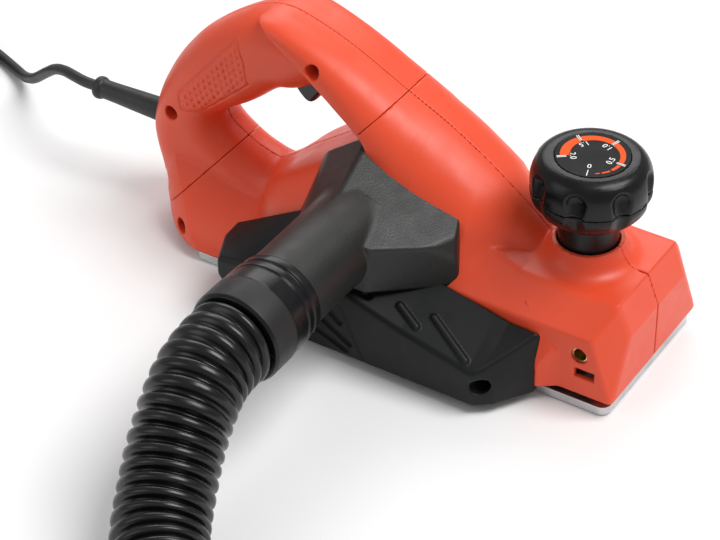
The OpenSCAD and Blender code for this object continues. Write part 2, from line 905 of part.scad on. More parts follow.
body_shell_right();
body_shell_left();
handle_shell_right();
handle_shell_left();
belt_cover();
belt_cover_screws();
base_frame();
chip_duct();
dust_adapter();
hose_cuff();
dust_hose();
hose_end_cuff();
front_shoe();
shoe_guide_pins();
depth_knob_neck();
depth_knob_cap();
depth_dial();
depth_spindle();
spindle_bush();
detent_spring();
cutter_drum();
cutter_shaft();
planer_blades();
blade_clamps();
clamp_screws();
drum_bearings();
driven_pulley();
pulley_nut();
drive_belt();
motor_pulley();
armature_shaft();
armature_core();
armature_windings();
commutator();
cooling_fan();
motor_bearings();
stator_core();
field_coils();
brush_holders();
carbon_brushes();
brush_caps();
switch_body();
trigger();
trigger_pin();
lock_off_button();
suppressor_capacitor();
cord_clamp();
cord_clamp_screws();
strain_relief();
power_cord();
cord_coil();
plug_body();
plug_pins();
handle_screws_set();
housing_screws();
frame_screws();
fence_insert();
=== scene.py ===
"""Electric hand planer with a dust hose: the looks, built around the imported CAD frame.

Shapes are worked out in millimetres in the frame's axes and scaled once, when a mesh is made.
Moulded parts are signed distance fields, skinned on a grid and then pulled onto the exact surface.
"""

import math
from functools import reduce

import bmesh
import bpy
import numpy as np
from mathutils import Matrix, Vector


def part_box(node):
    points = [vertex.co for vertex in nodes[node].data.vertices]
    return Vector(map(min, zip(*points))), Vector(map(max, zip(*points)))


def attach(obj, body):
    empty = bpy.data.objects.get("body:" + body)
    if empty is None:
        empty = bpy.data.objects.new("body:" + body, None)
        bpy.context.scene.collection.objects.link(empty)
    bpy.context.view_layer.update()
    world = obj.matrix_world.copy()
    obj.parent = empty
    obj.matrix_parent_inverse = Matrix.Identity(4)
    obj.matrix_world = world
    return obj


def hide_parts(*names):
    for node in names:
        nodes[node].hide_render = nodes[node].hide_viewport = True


MM = 0.001
# The body that everything without a joint rides on.
FIXED = "housing"
COARSE = 1.0

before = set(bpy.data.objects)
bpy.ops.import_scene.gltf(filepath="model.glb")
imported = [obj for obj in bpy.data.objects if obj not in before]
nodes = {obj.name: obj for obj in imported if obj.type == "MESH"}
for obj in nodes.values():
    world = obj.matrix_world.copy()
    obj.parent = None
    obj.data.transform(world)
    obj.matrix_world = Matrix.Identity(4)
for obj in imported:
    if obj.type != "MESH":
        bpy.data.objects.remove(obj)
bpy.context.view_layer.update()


# ---------------------------------------------------------------- mesh helpers


def link(name, data):
    """A new object that holds the data and stands in the scene."""
    made = bpy.data.objects.new(name, data)
    bpy.context.scene.collection.objects.link(made)
    return made


def new_mesh(name, points_mm, faces, body, smooth=True, normals=None):
    """A mesh object made from points in millimetres that rides on a CAD body."""
    mesh = bpy.data.meshes.new(name)
    scaled = (np.asarray(points_mm, float) * MM).tolist()
    mesh.from_pydata(scaled, [], [list(map(int, f)) for f in faces])
    mesh.update()
    if smooth:
        mesh.shade_smooth()
    if normals is not None:
        mesh.normals_split_custom_set_from_vertices(np.asarray(normals, float).tolist())
    piece = link(name, mesh)
    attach(piece, body)
    return piece


def dress(piece, material, slot, *stands_for):
    """Gives a piece its material and hides the CAD nodes it stands for; the slot is not used."""
    piece.data.materials.clear()
    piece.data.materials.append(material)
    if stands_for:
        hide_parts(*stands_for)
    return piece


def axis_frame(direction):
    """Two unit vectors square to a direction, and the direction itself."""
    along = np.asarray(direction, float)
    along = along / np.linalg.norm(along)
    helper = np.array([0, 0, 1.0]) if abs(along[2]) < 0.9 else np.array([1.0, 0, 0])
    side = np.cross(helper, along)
    side /= np.linalg.norm(side)
    return side, np.cross(along, side), along


def lathe(name, profile, origin, direction, body, segments=96):
    """Turns a closed profile of (radius, distance along the axis) around an axis."""
    side, up, along = axis_frame(direction)
    radius, reach = np.array(profile, float).T[:, :, None, None]
    angle = np.linspace(0, 2 * math.pi, segments, endpoint=False)[None, :, None]
    points = (
        np.asarray(origin, float)
        + radius * np.cos(angle) * side
        + radius * np.sin(angle) * up
        + reach * along
    ).reshape(-1, 3)
    faces = []
    for i in range(len(profile)):
        below, above = i * segments, ((i + 1) % len(profile)) * segments
        for k in range(segments):
            after = (k + 1) % segments
            faces.append((below + k, below + after, above + after, above + k))
    return weld(new_mesh(name, points, faces, body))


def weld(piece, distance=0.00001):
    """Merges doubled points, drops flat faces and turns all faces outward."""
    mesh = bmesh.new()
    mesh.from_mesh(piece.data)
    bmesh.ops.remove_doubles(mesh, verts=mesh.verts, dist=distance)
    bmesh.ops.dissolve_degenerate(mesh, dist=distance, edges=mesh.edges)
    bmesh.ops.recalc_face_normals(mesh, faces=mesh.faces)
    mesh.to_mesh(piece.data)
    mesh.free()
    return piece


def rounded_profile(profile, radius=0.6, steps=3):
    """A closed profile with its corners rounded by short arcs."""
    points = [np.array(p, float) for p in profile]
    made = []
    for i, here in enumerate(points):
        before, after = points[i - 1], points[(i + 1) % len(points)]
        into, out = before - here, after - here
        cut = min(radius, np.linalg.norm(into) / 2.2, np.linalg.norm(out) / 2.2)
        start = here + into / max(np.linalg.norm(into), 1e-9) * cut
        end = here + out / max(np.linalg.norm(out), 1e-9) * cut
        for k in range(steps + 1):
            t = k / steps
            bend = (1 - t) ** 2 * start + 2 * t * (1 - t) * here + t * t * end
            made.append(tuple(bend))
    return made


# ---------------------------------------------------------------- distance fields


def smooth_max(a, b, k):
    """The intersection of two fields with a blend about k millimetres wide."""
    h = np.maximum(k - np.abs(a - b), 0) / k
    return np.maximum(a, b) + h * h * k / 4


def smooth_min(a, b, k):
    """The union of two fields with a blend about k millimetres wide."""
    return -smooth_max(-a, -b, k)


def union(*fields):
    """The union of fields, sharp where they meet."""
    return reduce(np.minimum, fields)


def cut_all(first, *fields):
    """The intersection of fields, sharp where they meet."""
    return reduce(np.maximum, fields, first)


def outline_distance(points, u, v):
    """Signed distance from (u, v) to a closed outline, below zero inside."""
    best = None
    inside = None
    for (ax, ay), (bx, by) in zip(points, points[1:] + points[:1]):
        ex, ey = bx - ax, by - ay
        wx, wy = u - ax, v - ay
        t = np.clip((wx * ex + wy * ey) / (ex * ex + ey * ey), 0, 1)
        gap = (wx - ex * t) ** 2 + (wy - ey * t) ** 2
        best = gap if best is None else np.minimum(best, gap)
        if ay != by:
            spans = (ay > v) != (by > v)
            crossed = spans & (u < (bx - ax) * (v - ay) / (by - ay) + ax)
            inside = crossed if inside is None else inside ^ crossed
    return np.where(inside, -np.sqrt(best), np.sqrt(best))


def curved(points, passes=3):
    """An outline with its corners cut again and again until it flows."""
    for _ in range(passes):
        cut = []
        for (ax, ay), (bx, by) in zip(points, points[1:] + points[:1]):
            cut.append((0.78 * ax + 0.22 * bx, 0.78 * ay + 0.22 * by))
            cut.append((0.22 * ax + 0.78 * bx, 0.22 * ay + 0.78 * by))
        points = cut
    return points


def pillow(outline, y, half_width, depth, power):
    """An outline's field made solid across Y, rounded over like a moulded shell."""
    across = np.abs(y) / half_width
    down = np.maximum(depth + outline, 0) / depth
    size = np.minimum(half_width, depth)
    return ((across**power + down**power) ** (1 / power) - 1) * size


def plane(p, normal, point):
    """Signed distance above a plane given by its normal and a point on it."""
    n = np.asarray(normal, float)
    n = n / np.linalg.norm(n)
    d = float(n @ np.asarray(point, float))
    return n[0] * p[0] + n[1] * p[1] + n[2] * p[2] - d


def rod_y(p, x, z, radius, y_low, y_high):
    """A round bar along Y."""
    round_part = np.hypot(p[0] - x, p[2] - z) - radius
    return np.maximum(round_part, np.maximum(y_low - p[1], p[1] - y_high))


def rod_z(p, x, y, radius, z_low, z_high):
    """A round bar along Z."""
    round_part = np.hypot(p[0] - x, p[1] - y) - radius
    return np.maximum(round_part, np.maximum(z_low - p[2], p[2] - z_high))


def box(p, low, high):
    """A box from its low corner to its high corner."""
    far = np.maximum(low[0] - p[0], p[0] - high[0])
    far = np.maximum(far, np.maximum(low[1] - p[1], p[1] - high[1]))
    return np.maximum(far, np.maximum(low[2] - p[2], p[2] - high[2]))


def capsule(p, start, end, radius):
    """A bar with round ends between two points."""
    a, b = np.asarray(start, float), np.asarray(end, float)
    d = b - a
    t = ((p[0] - a[0]) * d[0] + (p[1] - a[1]) * d[1] + (p[2] - a[2]) * d[2]) / (d @ d)
    t = np.clip(t, 0, 1)
    gap = (
        (p[0] - a[0] - t * d[0]) ** 2
        + (p[1] - a[1] - t * d[1]) ** 2
        + (p[2] - a[2] - t * d[2]) ** 2
    )
    return np.sqrt(gap) - radius


def slope_of(field, points, step=0.08):
    """The field's value and its unit gradient at loose points."""
    corners = np.array([(1, 1, 1), (1, -1, -1), (-1, 1, -1), (-1, -1, 1)], float)
    total = np.zeros_like(points)
    for c in corners:
        q = points + c * step
        total += c * field((q[:, 0], q[:, 1], q[:, 2]))[:, None]
    total /= 4 * step
    length = np.linalg.norm(total, axis=1, keepdims=True)
    return total / np.maximum(length, 1e-6), length[:, 0]


def skin(name, field, low, high, step, body, pulls=2):
    """The surface of a field as a mesh: one point in each grid cell it crosses."""
    step *= COARSE
    axes = [np.arange(low[i], high[i] + step, step) for i in range(3)]
    value = field((axes[0][:, None, None], axes[1][None, :, None], axes[2][None, None, :]))
    value = np.broadcast_to(value, [len(a) for a in axes]).astype(np.float32)
    inside = value < 0
    n = [len(a) - 1 for a in axes]
    count = np.zeros(n, np.int8)
    for i, j, k in np.ndindex(2, 2, 2):
        count += inside[i : i + n[0], j : j + n[1], k : k + n[2]]
    cells = np.argwhere((count > 0) & (count < 8))
    number = np.full(n, -1, np.int64)
    number[tuple(cells.T)] = np.arange(len(cells))
    total = np.zeros((len(cells), 3))
    hits = np.zeros(len(cells))
    for a in np.ndindex(2, 2, 2):
        for axis in range(3):
            if a[axis]:
                continue
            b = tuple(a[m] + (m == axis) for m in range(3))
            va = value[tuple((cells + a).T)]
            vb = value[tuple((cells + b).T)]
            crossed = (va < 0) != (vb < 0)
            t = np.where(crossed, va / np.where(crossed, va - vb, 1), 0)
            spot = np.array(a, float)[None, :].repeat(len(cells), 0)
            spot[:, axis] += t
            total += spot * crossed[:, None]
            hits += crossed
    points = np.array(low, float) + (cells + total / hits[:, None]) * step
    faces = []
    for axis in range(3):
        u, v = (axis + 1) % 3, (axis + 2) % 3
        here, there = [slice(None)] * 3, [slice(None)] * 3
        here[axis], there[axis] = slice(0, -1), slice(1, None)
        a, b = inside[tuple(here)], inside[tuple(there)]
        edges = np.argwhere(a != b)
        keep = (edges[:, u] > 0) & (edges[:, v] > 0)
        keep &= (edges[:, u] < n[u]) & (edges[:, v] < n[v])
        edges = edges[keep]
        outward = a[tuple(edges.T)]
        ring = []
        for du, dv in ((-1, -1), (0, -1), (0, 0), (-1, 0)):
            c = edges.copy()
            c[:, u] += du
            c[:, v] += dv
            ring.append(number[tuple(c.T)])
        ring = np.stack(ring, 1)
        ring[~outward] = ring[~outward][:, ::-1]
        faces.append(ring)
    faces = np.concatenate(faces)
    for _ in range(pulls):
        normal, length = slope_of(field, points)
        off = field((points[:, 0], points[:, 1], points[:, 2])) / np.maximum(length, 0.2)
        points = points - normal * np.clip(off, -0.5 * step, 0.5 * step)[:, None]
    normal, _ = slope_of(field, points)
    return new_mesh(name, points, faces, body, normals=normal)


# ---------------------------------------------------------------- materials


class Nodes:
    """A small helper that adds shader nodes and joins their sockets."""

    def __init__(self, name):
        self.material = bpy.data.materials.new(name)
        self.material.use_nodes = True
        self.tree = self.material.node_tree
        self.shader = self.tree.nodes["Principled BSDF"]
        self.place = self.add("ShaderNodeTexCoord").outputs["Object"]

    def add(self, kind, **settings):
        node = self.tree.nodes.new(kind)
        for key, value in settings.items():
            setattr(node, key, value)
        return node

    def join(self, a, b):
        self.tree.links.new(a, b)

    def noise(self, size_mm, detail=3.0, stretch=None, distortion=0.0):
        """Noise whose lumps are about size_mm across."""
        place = self.place
        if stretch:
            mapping = self.add("ShaderNodeMapping")
            mapping.inputs["Scale"].default_value = stretch
            self.join(place, mapping.inputs["Vector"])
            place = mapping.outputs["Vector"]
        node = self.add("ShaderNodeTexNoise")
        node.inputs["Scale"].default_value = 1000.0 / size_mm
        node.inputs["Detail"].default_value = detail
        node.inputs["Distortion"].default_value = distortion
        self.join(place, node.inputs["Vector"])
        return node.outputs["Fac"]

    def spread(self, source, low, high, start=0.3, end=0.7):
        """Maps a texture's middle range to a range of values."""
        node = self.add("ShaderNodeMapRange")
        ends = {"From Min": start, "From Max": end, "To Min": low, "To Max": high}
        for key, value in ends.items():
            node.inputs[key].default_value = value
        self.join(source, node.inputs["Value"])
        return node.outputs["Result"]

    def mix(self, share, first, second):
        """A colour between two colours or sockets."""
        node = self.add("ShaderNodeMix", data_type="RGBA")
        for socket, value in ((6, first), (7, second)):
            if isinstance(value, (tuple, list)):
                node.inputs[socket].default_value = (*value[:3], 1)
            else:
                self.join(value, node.inputs[socket])
        if isinstance(share, float):
            node.inputs[0].default_value = share
        else:
            self.join(share, node.inputs[0])
        return node.outputs[2]

    def bump(self, *layers):
        """Stacks bump layers of (height socket, depth in millimetres)."""
        last = None
        for height, depth_mm in layers:
            node = self.add("ShaderNodeBump")
            node.inputs["Strength"].default_value = 1.0
            node.inputs["Distance"].default_value = depth_mm * MM
            self.join(height, node.inputs["Height"])
            if last is not None:
                self.join(last, node.inputs["Normal"])
            last = node.outputs["Normal"]
        self.join(last, self.shader.inputs["Normal"])

    def edges(self, low=0.52, high=0.6):
        """About 1 on worn outer edges, and 0 elsewhere."""
        pointy = self.add("ShaderNodeNewGeometry").outputs["Pointiness"]
        return self.spread(pointy, 0.0, 1.0, low, high)


def darker(colour, share):
    """A colour scaled by a share, which may be above 1."""
    return tuple(c * share for c in colour)


def plastic(name, colour, rough, grain_mm=0.5, grain_depth=0.02, wear=0.35, mottle=0.08,
            gloss=0.5):
    """Moulded plastic: fine grain, faint mottling, smoother rubbed patches and pale edges."""
    n = Nodes(name)
    fine = n.noise(grain_mm, 2.0)
    broad = n.noise(38.0, 4.0)
    smudge = n.noise(11.0, 5.0, distortion=0.6)
    base = n.mix(n.spread(broad, 0.0, 1.0), darker(colour, 1 - mottle), darker(colour, 1 + mottle))
    pale = tuple(min(1.0, c * 1.15 + 0.045) for c in colour)
    worn = n.mix(n.edges(), base, pale)
    n.join(n.mix(wear, base, worn), n.shader.inputs["Base Color"])
    n.join(n.spread(smudge, rough - 0.05, rough + 0.06), n.shader.inputs["Roughness"])
    n.shader.inputs["Specular IOR Level"].default_value = gloss
    n.bump((fine, grain_depth), (broad, 0.05))
    return n.material


def metal(name, colour, rough, stretch=(1, 1, 1), scratch_mm=0.6, depth=0.004, stain=0.1):
    """Machined metal: drawn scratches, stains and rougher patches."""
    n = Nodes(name)
    lines = n.noise(scratch_mm, 4.0, stretch=stretch)
    patches = n.noise(14.0, 5.0, distortion=0.8)
    base = n.mix(n.spread(patches, 0.0, 1.0), darker(colour, 1 - stain), colour)
    n.join(base, n.shader.inputs["Base Color"])
    n.shader.inputs["Metallic"].default_value = 1.0
    n.join(n.spread(patches, rough + 0.1, rough), n.shader.inputs["Roughness"])
    n.bump((lines, depth))
    return n.material


ORANGE = (0.78, 0.075, 0.026)
orange = plastic("orange_shell", ORANGE, 0.40, 0.7, 0.006, wear=0.2, mottle=0.03, gloss=0.4)
cover_black = plastic("cover_plastic", (0.007, 0.0075, 0.008), 0.42, 0.6, 0.02, mottle=0.15,
                      gloss=0.24)
adapter_grey = plastic("adapter_plastic", (0.016, 0.017, 0.016), 0.42, 0.9, 0.12, mottle=0.12,
                       gloss=0.38)
knob_black = plastic("knob_plastic", (0.005, 0.005, 0.0055), 0.27, 0.6, 0.006, mottle=0.2,
                     gloss=0.26)
cuff_black = plastic("cuff_rubber", (0.005, 0.0055, 0.0065), 0.26, 0.6, 0.012, mottle=0.2,
                     gloss=0.3)
cuff_matt = plastic("cuff_matt_band", (0.012, 0.012, 0.012), 0.5, 0.8, 0.06, mottle=0.2,
                    gloss=0.4)
hose_black = plastic("hose_plastic", (0.004, 0.004, 0.0045), 0.26, 1.4, 0.02, mottle=0.3,
                     gloss=0.4)
cord_black = plastic("cord_rubber", (0.015, 0.015, 0.016), 0.48, 0.9, 0.02, mottle=0.2)
trigger_black = plastic("trigger_plastic", (0.014, 0.014, 0.015), 0.38, 0.5, 0.02, mottle=0.2)
dial_black = plastic("dial_print", (0.002, 0.002, 0.0025), 0.45, 0.5, 0.003, mottle=0.2,
                     gloss=0.08)
dial_orange = plastic("dial_orange_print", (0.80, 0.085, 0.006), 0.5, 0.5, 0.003, mottle=0.03,
                      wear=0.0, gloss=0.15)
dial_white = plastic("dial_white_print", (0.82, 0.82, 0.80), 0.40, 0.5, 0.003, mottle=0.02)
inner_black = plastic("inner_plastic", (0.03, 0.03, 0.033), 0.5, 0.5, 0.02)
fan_white = plastic("fan_plastic", (0.62, 0.60, 0.53), 0.45, 0.5, 0.02)
carbon = plastic("pressed_carbon", (0.02, 0.02, 0.021), 0.6, 0.3, 0.03)
capacitor_blue = plastic("capacitor_shell", (0.05, 0.14, 0.36), 0.3, 0.5, 0.004)
belt_rubber = plastic("belt_rubber", (0.014, 0.014, 0.014), 0.6, 0.5, 0.03)
steel = metal("machined_steel", (0.52, 0.52, 0.54), 0.28, (1, 14, 1))
drum_metal = metal("drum_aluminium", (0.62, 0.63, 0.65), 0.32, (1, 14, 1))
carbide = metal("ground_carbide", (0.70, 0.71, 0.73), 0.18, (14, 1, 14), 0.3, 0.002)
bearing_steel = metal("polished_steel", (0.75, 0.75, 0.76), 0.14)
screw_black = metal("blackened_steel", (0.10, 0.10, 0.105), 0.36)
sole_metal = metal("cast_sole", (0.66, 0.67, 0.68), 0.30, (14, 1, 1), 0.8, 0.02, 0.2)
brass = metal("brass", (0.80, 0.60, 0.25), 0.28)
copper = metal("lacquered_copper", (0.62, 0.25, 0.10), 0.30, (1, 1, 1), 0.5, 0.06)
laminated = metal("laminated_steel", (0.30, 0.31, 0.33), 0.45, (1, 40, 1), 0.6, 0.03)

# The CAD nodes that keep their own shape, by material.
NODE_MATERIALS = {
    inner_black: ["brush_caps", "switch_body", "cord_clamp"],
    fan_white: ["cooling_fan"],
    carbon: ["carbon_brushes"],
    capacitor_blue: ["suppressor_capacitor"],
    belt_rubber: ["drive_belt"],
    steel: [
        "shoe_guide_pins", "depth_spindle", "cutter_shaft", "armature_shaft",
        "trigger_pin", "driven_pulley", "motor_pulley", "pulley_nut",
    ],
    drum_metal: ["cutter_drum", "blade_clamps"],
    carbide: ["planer_blades"],
    bearing_steel: ["drum_bearings", "motor_bearings", "detent_spring", "plug_pins"],
    screw_black: [
        "belt_cover_screws", "clamp_screws", "cord_clamp_screws",
        "handle_screws_set", "housing_screws", "frame_screws",
    ],
    sole_metal: ["front_shoe"],
    brass: ["spindle_bush", "brush_holders", "fence_insert"],
    copper: ["armature_windings", "field_coils", "commutator"],
    laminated: ["armature_core", "stator_core"],
    dial_black: ["depth_dial"],
}


def soften_edges(node, width_mm):
    """A narrow bevel on a CAD node's edges, so that they catch the light."""
    bevel = nodes[node].modifiers.new("edge_bevel", "BEVEL")
    bevel.width = width_mm * MM
    bevel.segments = 2
    bevel.limit_method = "ANGLE"
    bevel.angle_limit = math.radians(40)
    bevel.use_clamp_overlap = True


for look, names in NODE_MATERIALS.items():
    for node_name in names:
        nodes[node_name].data.materials.clear()
        nodes[node_name].data.materials.append(look)
soften_edges("front_shoe", 0.5)


# ---------------------------------------------------------------- camera

CAMERA_AT = Vector((0.5020, -0.8965, 0.8240))
CAMERA_AZIMUTH, CAMERA_ELEVATION = math.radians(31.6), math.radians(38.0)
LENS_MM = 130.0
SHIFT_X = -40 / 720


def make_camera():
    """The camera, at the angle from which the tool was seen."""
    data = bpy.data.cameras.new("camera")
    data.lens = LENS_MM
    data.sensor_width = 36.0
    data.shift_x = SHIFT_X
    data.clip_start, data.clip_end = 0.05, 20.0
    camera = link("camera", data)
    az, el = CAMERA_AZIMUTH, CAMERA_ELEVATION
    back = Vector((math.sin(az) * math.cos(el), -math.cos(az) * math.cos(el), math.sin(el)))
    right = Vector((math.cos(az), math.sin(az), 0))
    up = back.cross(right)
    turn = Matrix((right, up, back)).transposed().to_4x4()
    camera.matrix_world = Matrix.Translation(CAMERA_AT) @ turn
    bpy.context.scene.camera = camera


make_camera()


# ---------------------------------------------------------------- cord

CORD_D = 6.0
CORD_ROUTE = [
    (-239, 0, 48.5), (-247, 0, 48.5), (-256, 2, 48), (-265, 5.5, 46), (-274, 9, 42),
    (-283, 13, 35), (-292, 18, 27), (-301, 23, 19), (-310, 29, 12), (-320, 35, 6.5),
    (-331, 41, 4), (-342, 46, 3), (-353, 50, 3), (-364, 53, 3),
]
COIL_CENTRE = (-392.0, 20.0)
# The cells the turns lie in, one after the other, as (radius, height).
COIL_CELLS = [
    (39, 3), (33, 3), (27, 3), (27, 9), (27, 15), (27, 21),
    (33, 21), (33, 15), (33, 9), (39, 9), (39, 15),
]
# Angles in degrees: where the cord joins the coil and leaves it, the stretch of each turn
# in which it moves to the next cell, and the angle between two points.
COIL_START, COIL_EXIT = 49.7, 180.0
SHIFT_FROM, SHIFT_TO = 200.0, 250.0
COIL_STEP = 10.0


def coil_points():
    """The coil's turns, anticlockwise from where the cord arrives to the plug."""
    made = []
    angle = COIL_START + COIL_STEP
    last = COIL_EXIT + 360.0 * (len(COIL_CELLS) - 1)
    while angle <= last + 0.1:
        turn = int(max(0, math.floor((angle - SHIFT_FROM) / 360.0 + 1)))
        into = (angle - SHIFT_FROM) / 360.0 + 1 - turn
        share = min(1.0, max(0.0, into) * 360.0 / (SHIFT_TO - SHIFT_FROM))
        share = share * share * (3 - 2 * share)
        here = COIL_CELLS[min(turn, len(COIL_CELLS) - 1)]
        before = COIL_CELLS[max(turn - 1, 0)]
        r = before[0] + (here[0] - before[0]) * share if turn > 0 else here[0]
        z = before[1] + (here[1] - before[1]) * share if turn > 0 else here[1]
        if turn == 0:
            r += 4.3 * max(0.0, 1 - (angle - COIL_START) / 45.0)
        a = math.radians(angle)
        made.append((COIL_CENTRE[0] + r * math.cos(a), COIL_CENTRE[1] + r * math.sin(a), z))
        angle += COIL_STEP
    return made


def curve_piece(name, points_mm, diameter_mm, material):
    """A round cord along points, as one open smooth spline."""
    data = bpy.data.curves.new(name, "CURVE")
    data.dimensions = "3D"
    data.bevel_depth = diameter_mm / 2 * MM
    data.bevel_resolution = 6
    data.resolution_u = 4
    data.use_fill_caps = True
    spline = data.splines.new("BEZIER")
    spline.bezier_points.add(len(points_mm) - 1)
    for knot, p in zip(spline.bezier_points, points_mm):
        knot.co = Vector(p) * MM
        knot.handle_left_type = knot.handle_right_type = "AUTO"
    data.materials.append(material)
    return link(name, data)


def make_plug():
    """A rubber plug moulded on the cord, lying beside the coil."""
    low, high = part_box("plug_body")
    middle_x, middle_z = (low.x + high.x) / 2 / MM, (low.z + high.z) / 2 / MM
    back_y, front_y = high.y / MM, low.y / MM
    long = back_y - front_y

    def field(p):
        s = back_y - p[1]
        x, z = p[0] - middle_x, p[2] - middle_z
        r = np.hypot(x, z)
        sleeve = r - np.interp(s, [0, 14, 22, 30], [4.2, 5.0, 8.5, 11.0])
        ribs = 0.55 * (np.abs(((s - 1.0) % 3.2) - 1.6) < 0.7) * (s < 15)
        sleeve = np.maximum(sleeve * 0.9 + ribs, np.maximum(-s, s - 26))
        head = (np.abs(x / 17.0) ** 2.6 + np.abs(z / 13.8) ** 2.6 + 1e-9) ** (1 / 2.6)
        pull = np.interp(s, [16, 22, 30, 36], [0.30, 0.62, 0.93, 1.0])
        head = (head - pull) * 13.0
        head = smooth_max(head, np.maximum(18 - s, s - long), 1.6)
        left, right, groove_z = middle_x - 30, middle_x + 30, middle_z + 15.4
        grips = union(*(
            capsule(p, (left, back_y - at, groove_z), (right, back_y - at, groove_z), 2.6)
            for at in (33, 38.5, 44.0)))
        return smooth_max(smooth_min(sleeve, head, 2.0), -grips, 0.8)

    piece = skin("plug", field, (middle_x - 18.5, front_y - 1.5, -0.6),
                 (middle_x + 18.5, back_y + 1.5, 2 * middle_z + 1.2), 0.8, FIXED)
    return dress(piece, cord_black, "plug_black", "plug_body")


def make_strain_relief():
    """The tapered rubber sleeve with a bead at its tip."""
    low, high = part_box("strain_relief")
    tip, root = low.x / MM, high.x / MM
    z = (low.z + high.z) / 2 / MM
    outline = [
        (3.15, 0.0), (4.9, 0.0), (5.9, 1.0), (6.3, 2.4), (6.1, 4.2), (5.3, 5.4), (5.2, 7.0),
        (5.35, 14.0), (5.75, 24.0), (6.3, 40.0), (6.5, 44.0), (6.5, root - tip), (3.15, root - tip),
    ]
    piece = lathe("strain_relief_sleeve", rounded_profile(outline, 0.7), (tip, 0, z), (1, 0, 0),
                  FIXED, 64)
    return dress(piece, cord_black, "cord_black", "strain_relief")


def make_cord():
    """The mains cord from the strain relief through its coil to the plug."""
    low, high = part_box("plug_body")
    x, z = (low.x + high.x) / 2 / MM, (low.z + high.z) / 2 / MM
    tail = [(x, 14, z + 0.4), (x, high.y / MM - 1.0, z)]
    points = CORD_ROUTE + coil_points() + tail
    cord = curve_piece("mains_cord", points, CORD_D, cord_black)
    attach(cord, FIXED)
    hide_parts("power_cord", "cord_coil")
    relief = make_strain_relief()
    plug = make_plug()


make_cord()


# ---------------------------------------------------------------- hose

HOSE_ROUTE = [
    (-45, -153, 64.5), (-45, -166, 64.5), (-44, -180, 62.5), (-41, -195, 57),
    (-37, -211, 47.5), (-31, -227, 38), (-22, -246, 29), (-9, -264, 24),
    (8, -285, 23), (28, -315, 23), (43, -354, 23), (50, -400, 23), (45, -446, 23),
    (28, -488, 23), (0, -525, 23), (-40, -556, 23), (-84, -574, 23), (-130, -580, 23),
    (-176, -574, 23), (-220, -558, 23), (-262, -537, 23), (-304, -518, 23),
    (-348, -506, 23), (-394, -500, 23),
]
RING_PITCH = 7.4
# Radii of the hose wall along one ring, from groove to groove.
RING_SHAPE = [19.0, 19.1, 20.6, 21.9, 22.4, 22.5, 22.5, 22.4, 21.8, 20.4]
HOSE_WALL = 1.0


def flowing_line(points, spacing):
    """A Catmull-Rom curve through points, sampled at an even spacing."""
    p = np.array(points, float)
    p = np.vstack([2 * p[0] - p[1], p, 2 * p[-1] - p[-2]])
    fine = []
    for i in range(1, len(p) - 2):
        t = np.linspace(0, 1, 24, endpoint=False)[:, None]
        a, b, c, d = p[i - 1], p[i], p[i + 1], p[i + 2]
        fine.append(0.5 * (2 * b + (c - a) * t + (2 * a - 5 * b + 4 * c - d) * t**2
                           + (3 * b - a - 3 * c + d) * t**3))
    fine = np.vstack([*fine, p[-2][None]])
    run = np.concatenate([[0], np.cumsum(np.linalg.norm(np.diff(fine, axis=0), axis=1))])
    want = np.arange(0, run[-1], spacing)
    return np.stack([np.interp(want, run, fine[:, m]) for m in range(3)], 1)


def make_end_cuff(at, direction):
    """The rubber cuff on the hose's far end, with a stop ring and grip ribs."""
    outline = [(18.6, -6.0), (23.4, -6.0), (23.4, 2.0), (22.6, 3.0)]
    for i in range(4):
        s = 4.5 + 4.2 * i
        outline += [(22.6, s), (23.3, s + 0.8), (23.3, s + 2.0), (22.6, s + 2.8)]
    outline += [(22.8, 22.0), (19.6, 25.0), (19.0, 60.0), (16.0, 60.0), (16.0, 4.0), (18.6, 2.0)]
    piece = lathe("hose_end_fitting", rounded_profile(outline, 0.5), at, direction, FIXED, 96)
    return dress(piece, cuff_black, "cuff_rubber", "hose_end_cuff")


def make_hose():
    """The corrugated hose: wide rounded rings between narrow deep grooves."""
    per_ring = len(RING_SHAPE)
    line = flowing_line(HOSE_ROUTE, RING_PITCH / per_ring)
    ahead = np.gradient(line, axis=0)
    ahead /= np.linalg.norm(ahead, axis=1, keepdims=True)
    side = np.cross([0, 0, 1.0], ahead)
    side /= np.linalg.norm(side, axis=1, keepdims=True)
    up = np.cross(ahead, side)
    segments = 64
    angle = np.linspace(0, 2 * math.pi, segments, endpoint=False)
    radius = np.array([RING_SHAPE[i % per_ring] for i in range(len(line))])
    around = (np.cos(angle)[None, :, None] * side[:, None, :]
              + np.sin(angle)[None, :, None] * up[:, None, :])
    outer = line[:, None, :] + around * radius[:, None, None]
    inner = line[:, None, :] + around * (radius[:, None, None] - HOSE_WALL)
    thin = inner[::per_ring // 2]
    points = np.concatenate([outer.reshape(-1, 3), thin.reshape(-1, 3)])
    faces = []
    rows, inner_rows = len(line), len(thin)
    start = rows * segments
    for k in range(segments):
        after = (k + 1) % segments
        for i in range(rows - 1):
            a, b = i * segments, (i + 1) * segments
            faces.append((a + k, a + after, b + after, b + k))
        for i in range(inner_rows - 1):
            a, b = start + i * segments, start + (i + 1) * segments
            faces.append((a + after, a + k, b + k, b + after))
        last = start + (inner_rows - 1) * segments
        end = (rows - 1) * segments
        faces.append((after, k, start + k, start + after))
        faces.append((end + k, end + after, last + after, last + k))
    hose = new_mesh("dust_hose_tube", points, faces, FIXED)
    dress(hose, hose_black, "hose_black", "dust_hose")
    end_cuff = make_end_cuff(line[-1], ahead[-1])


make_hose()


# ---------------------------------------------------------------- housing

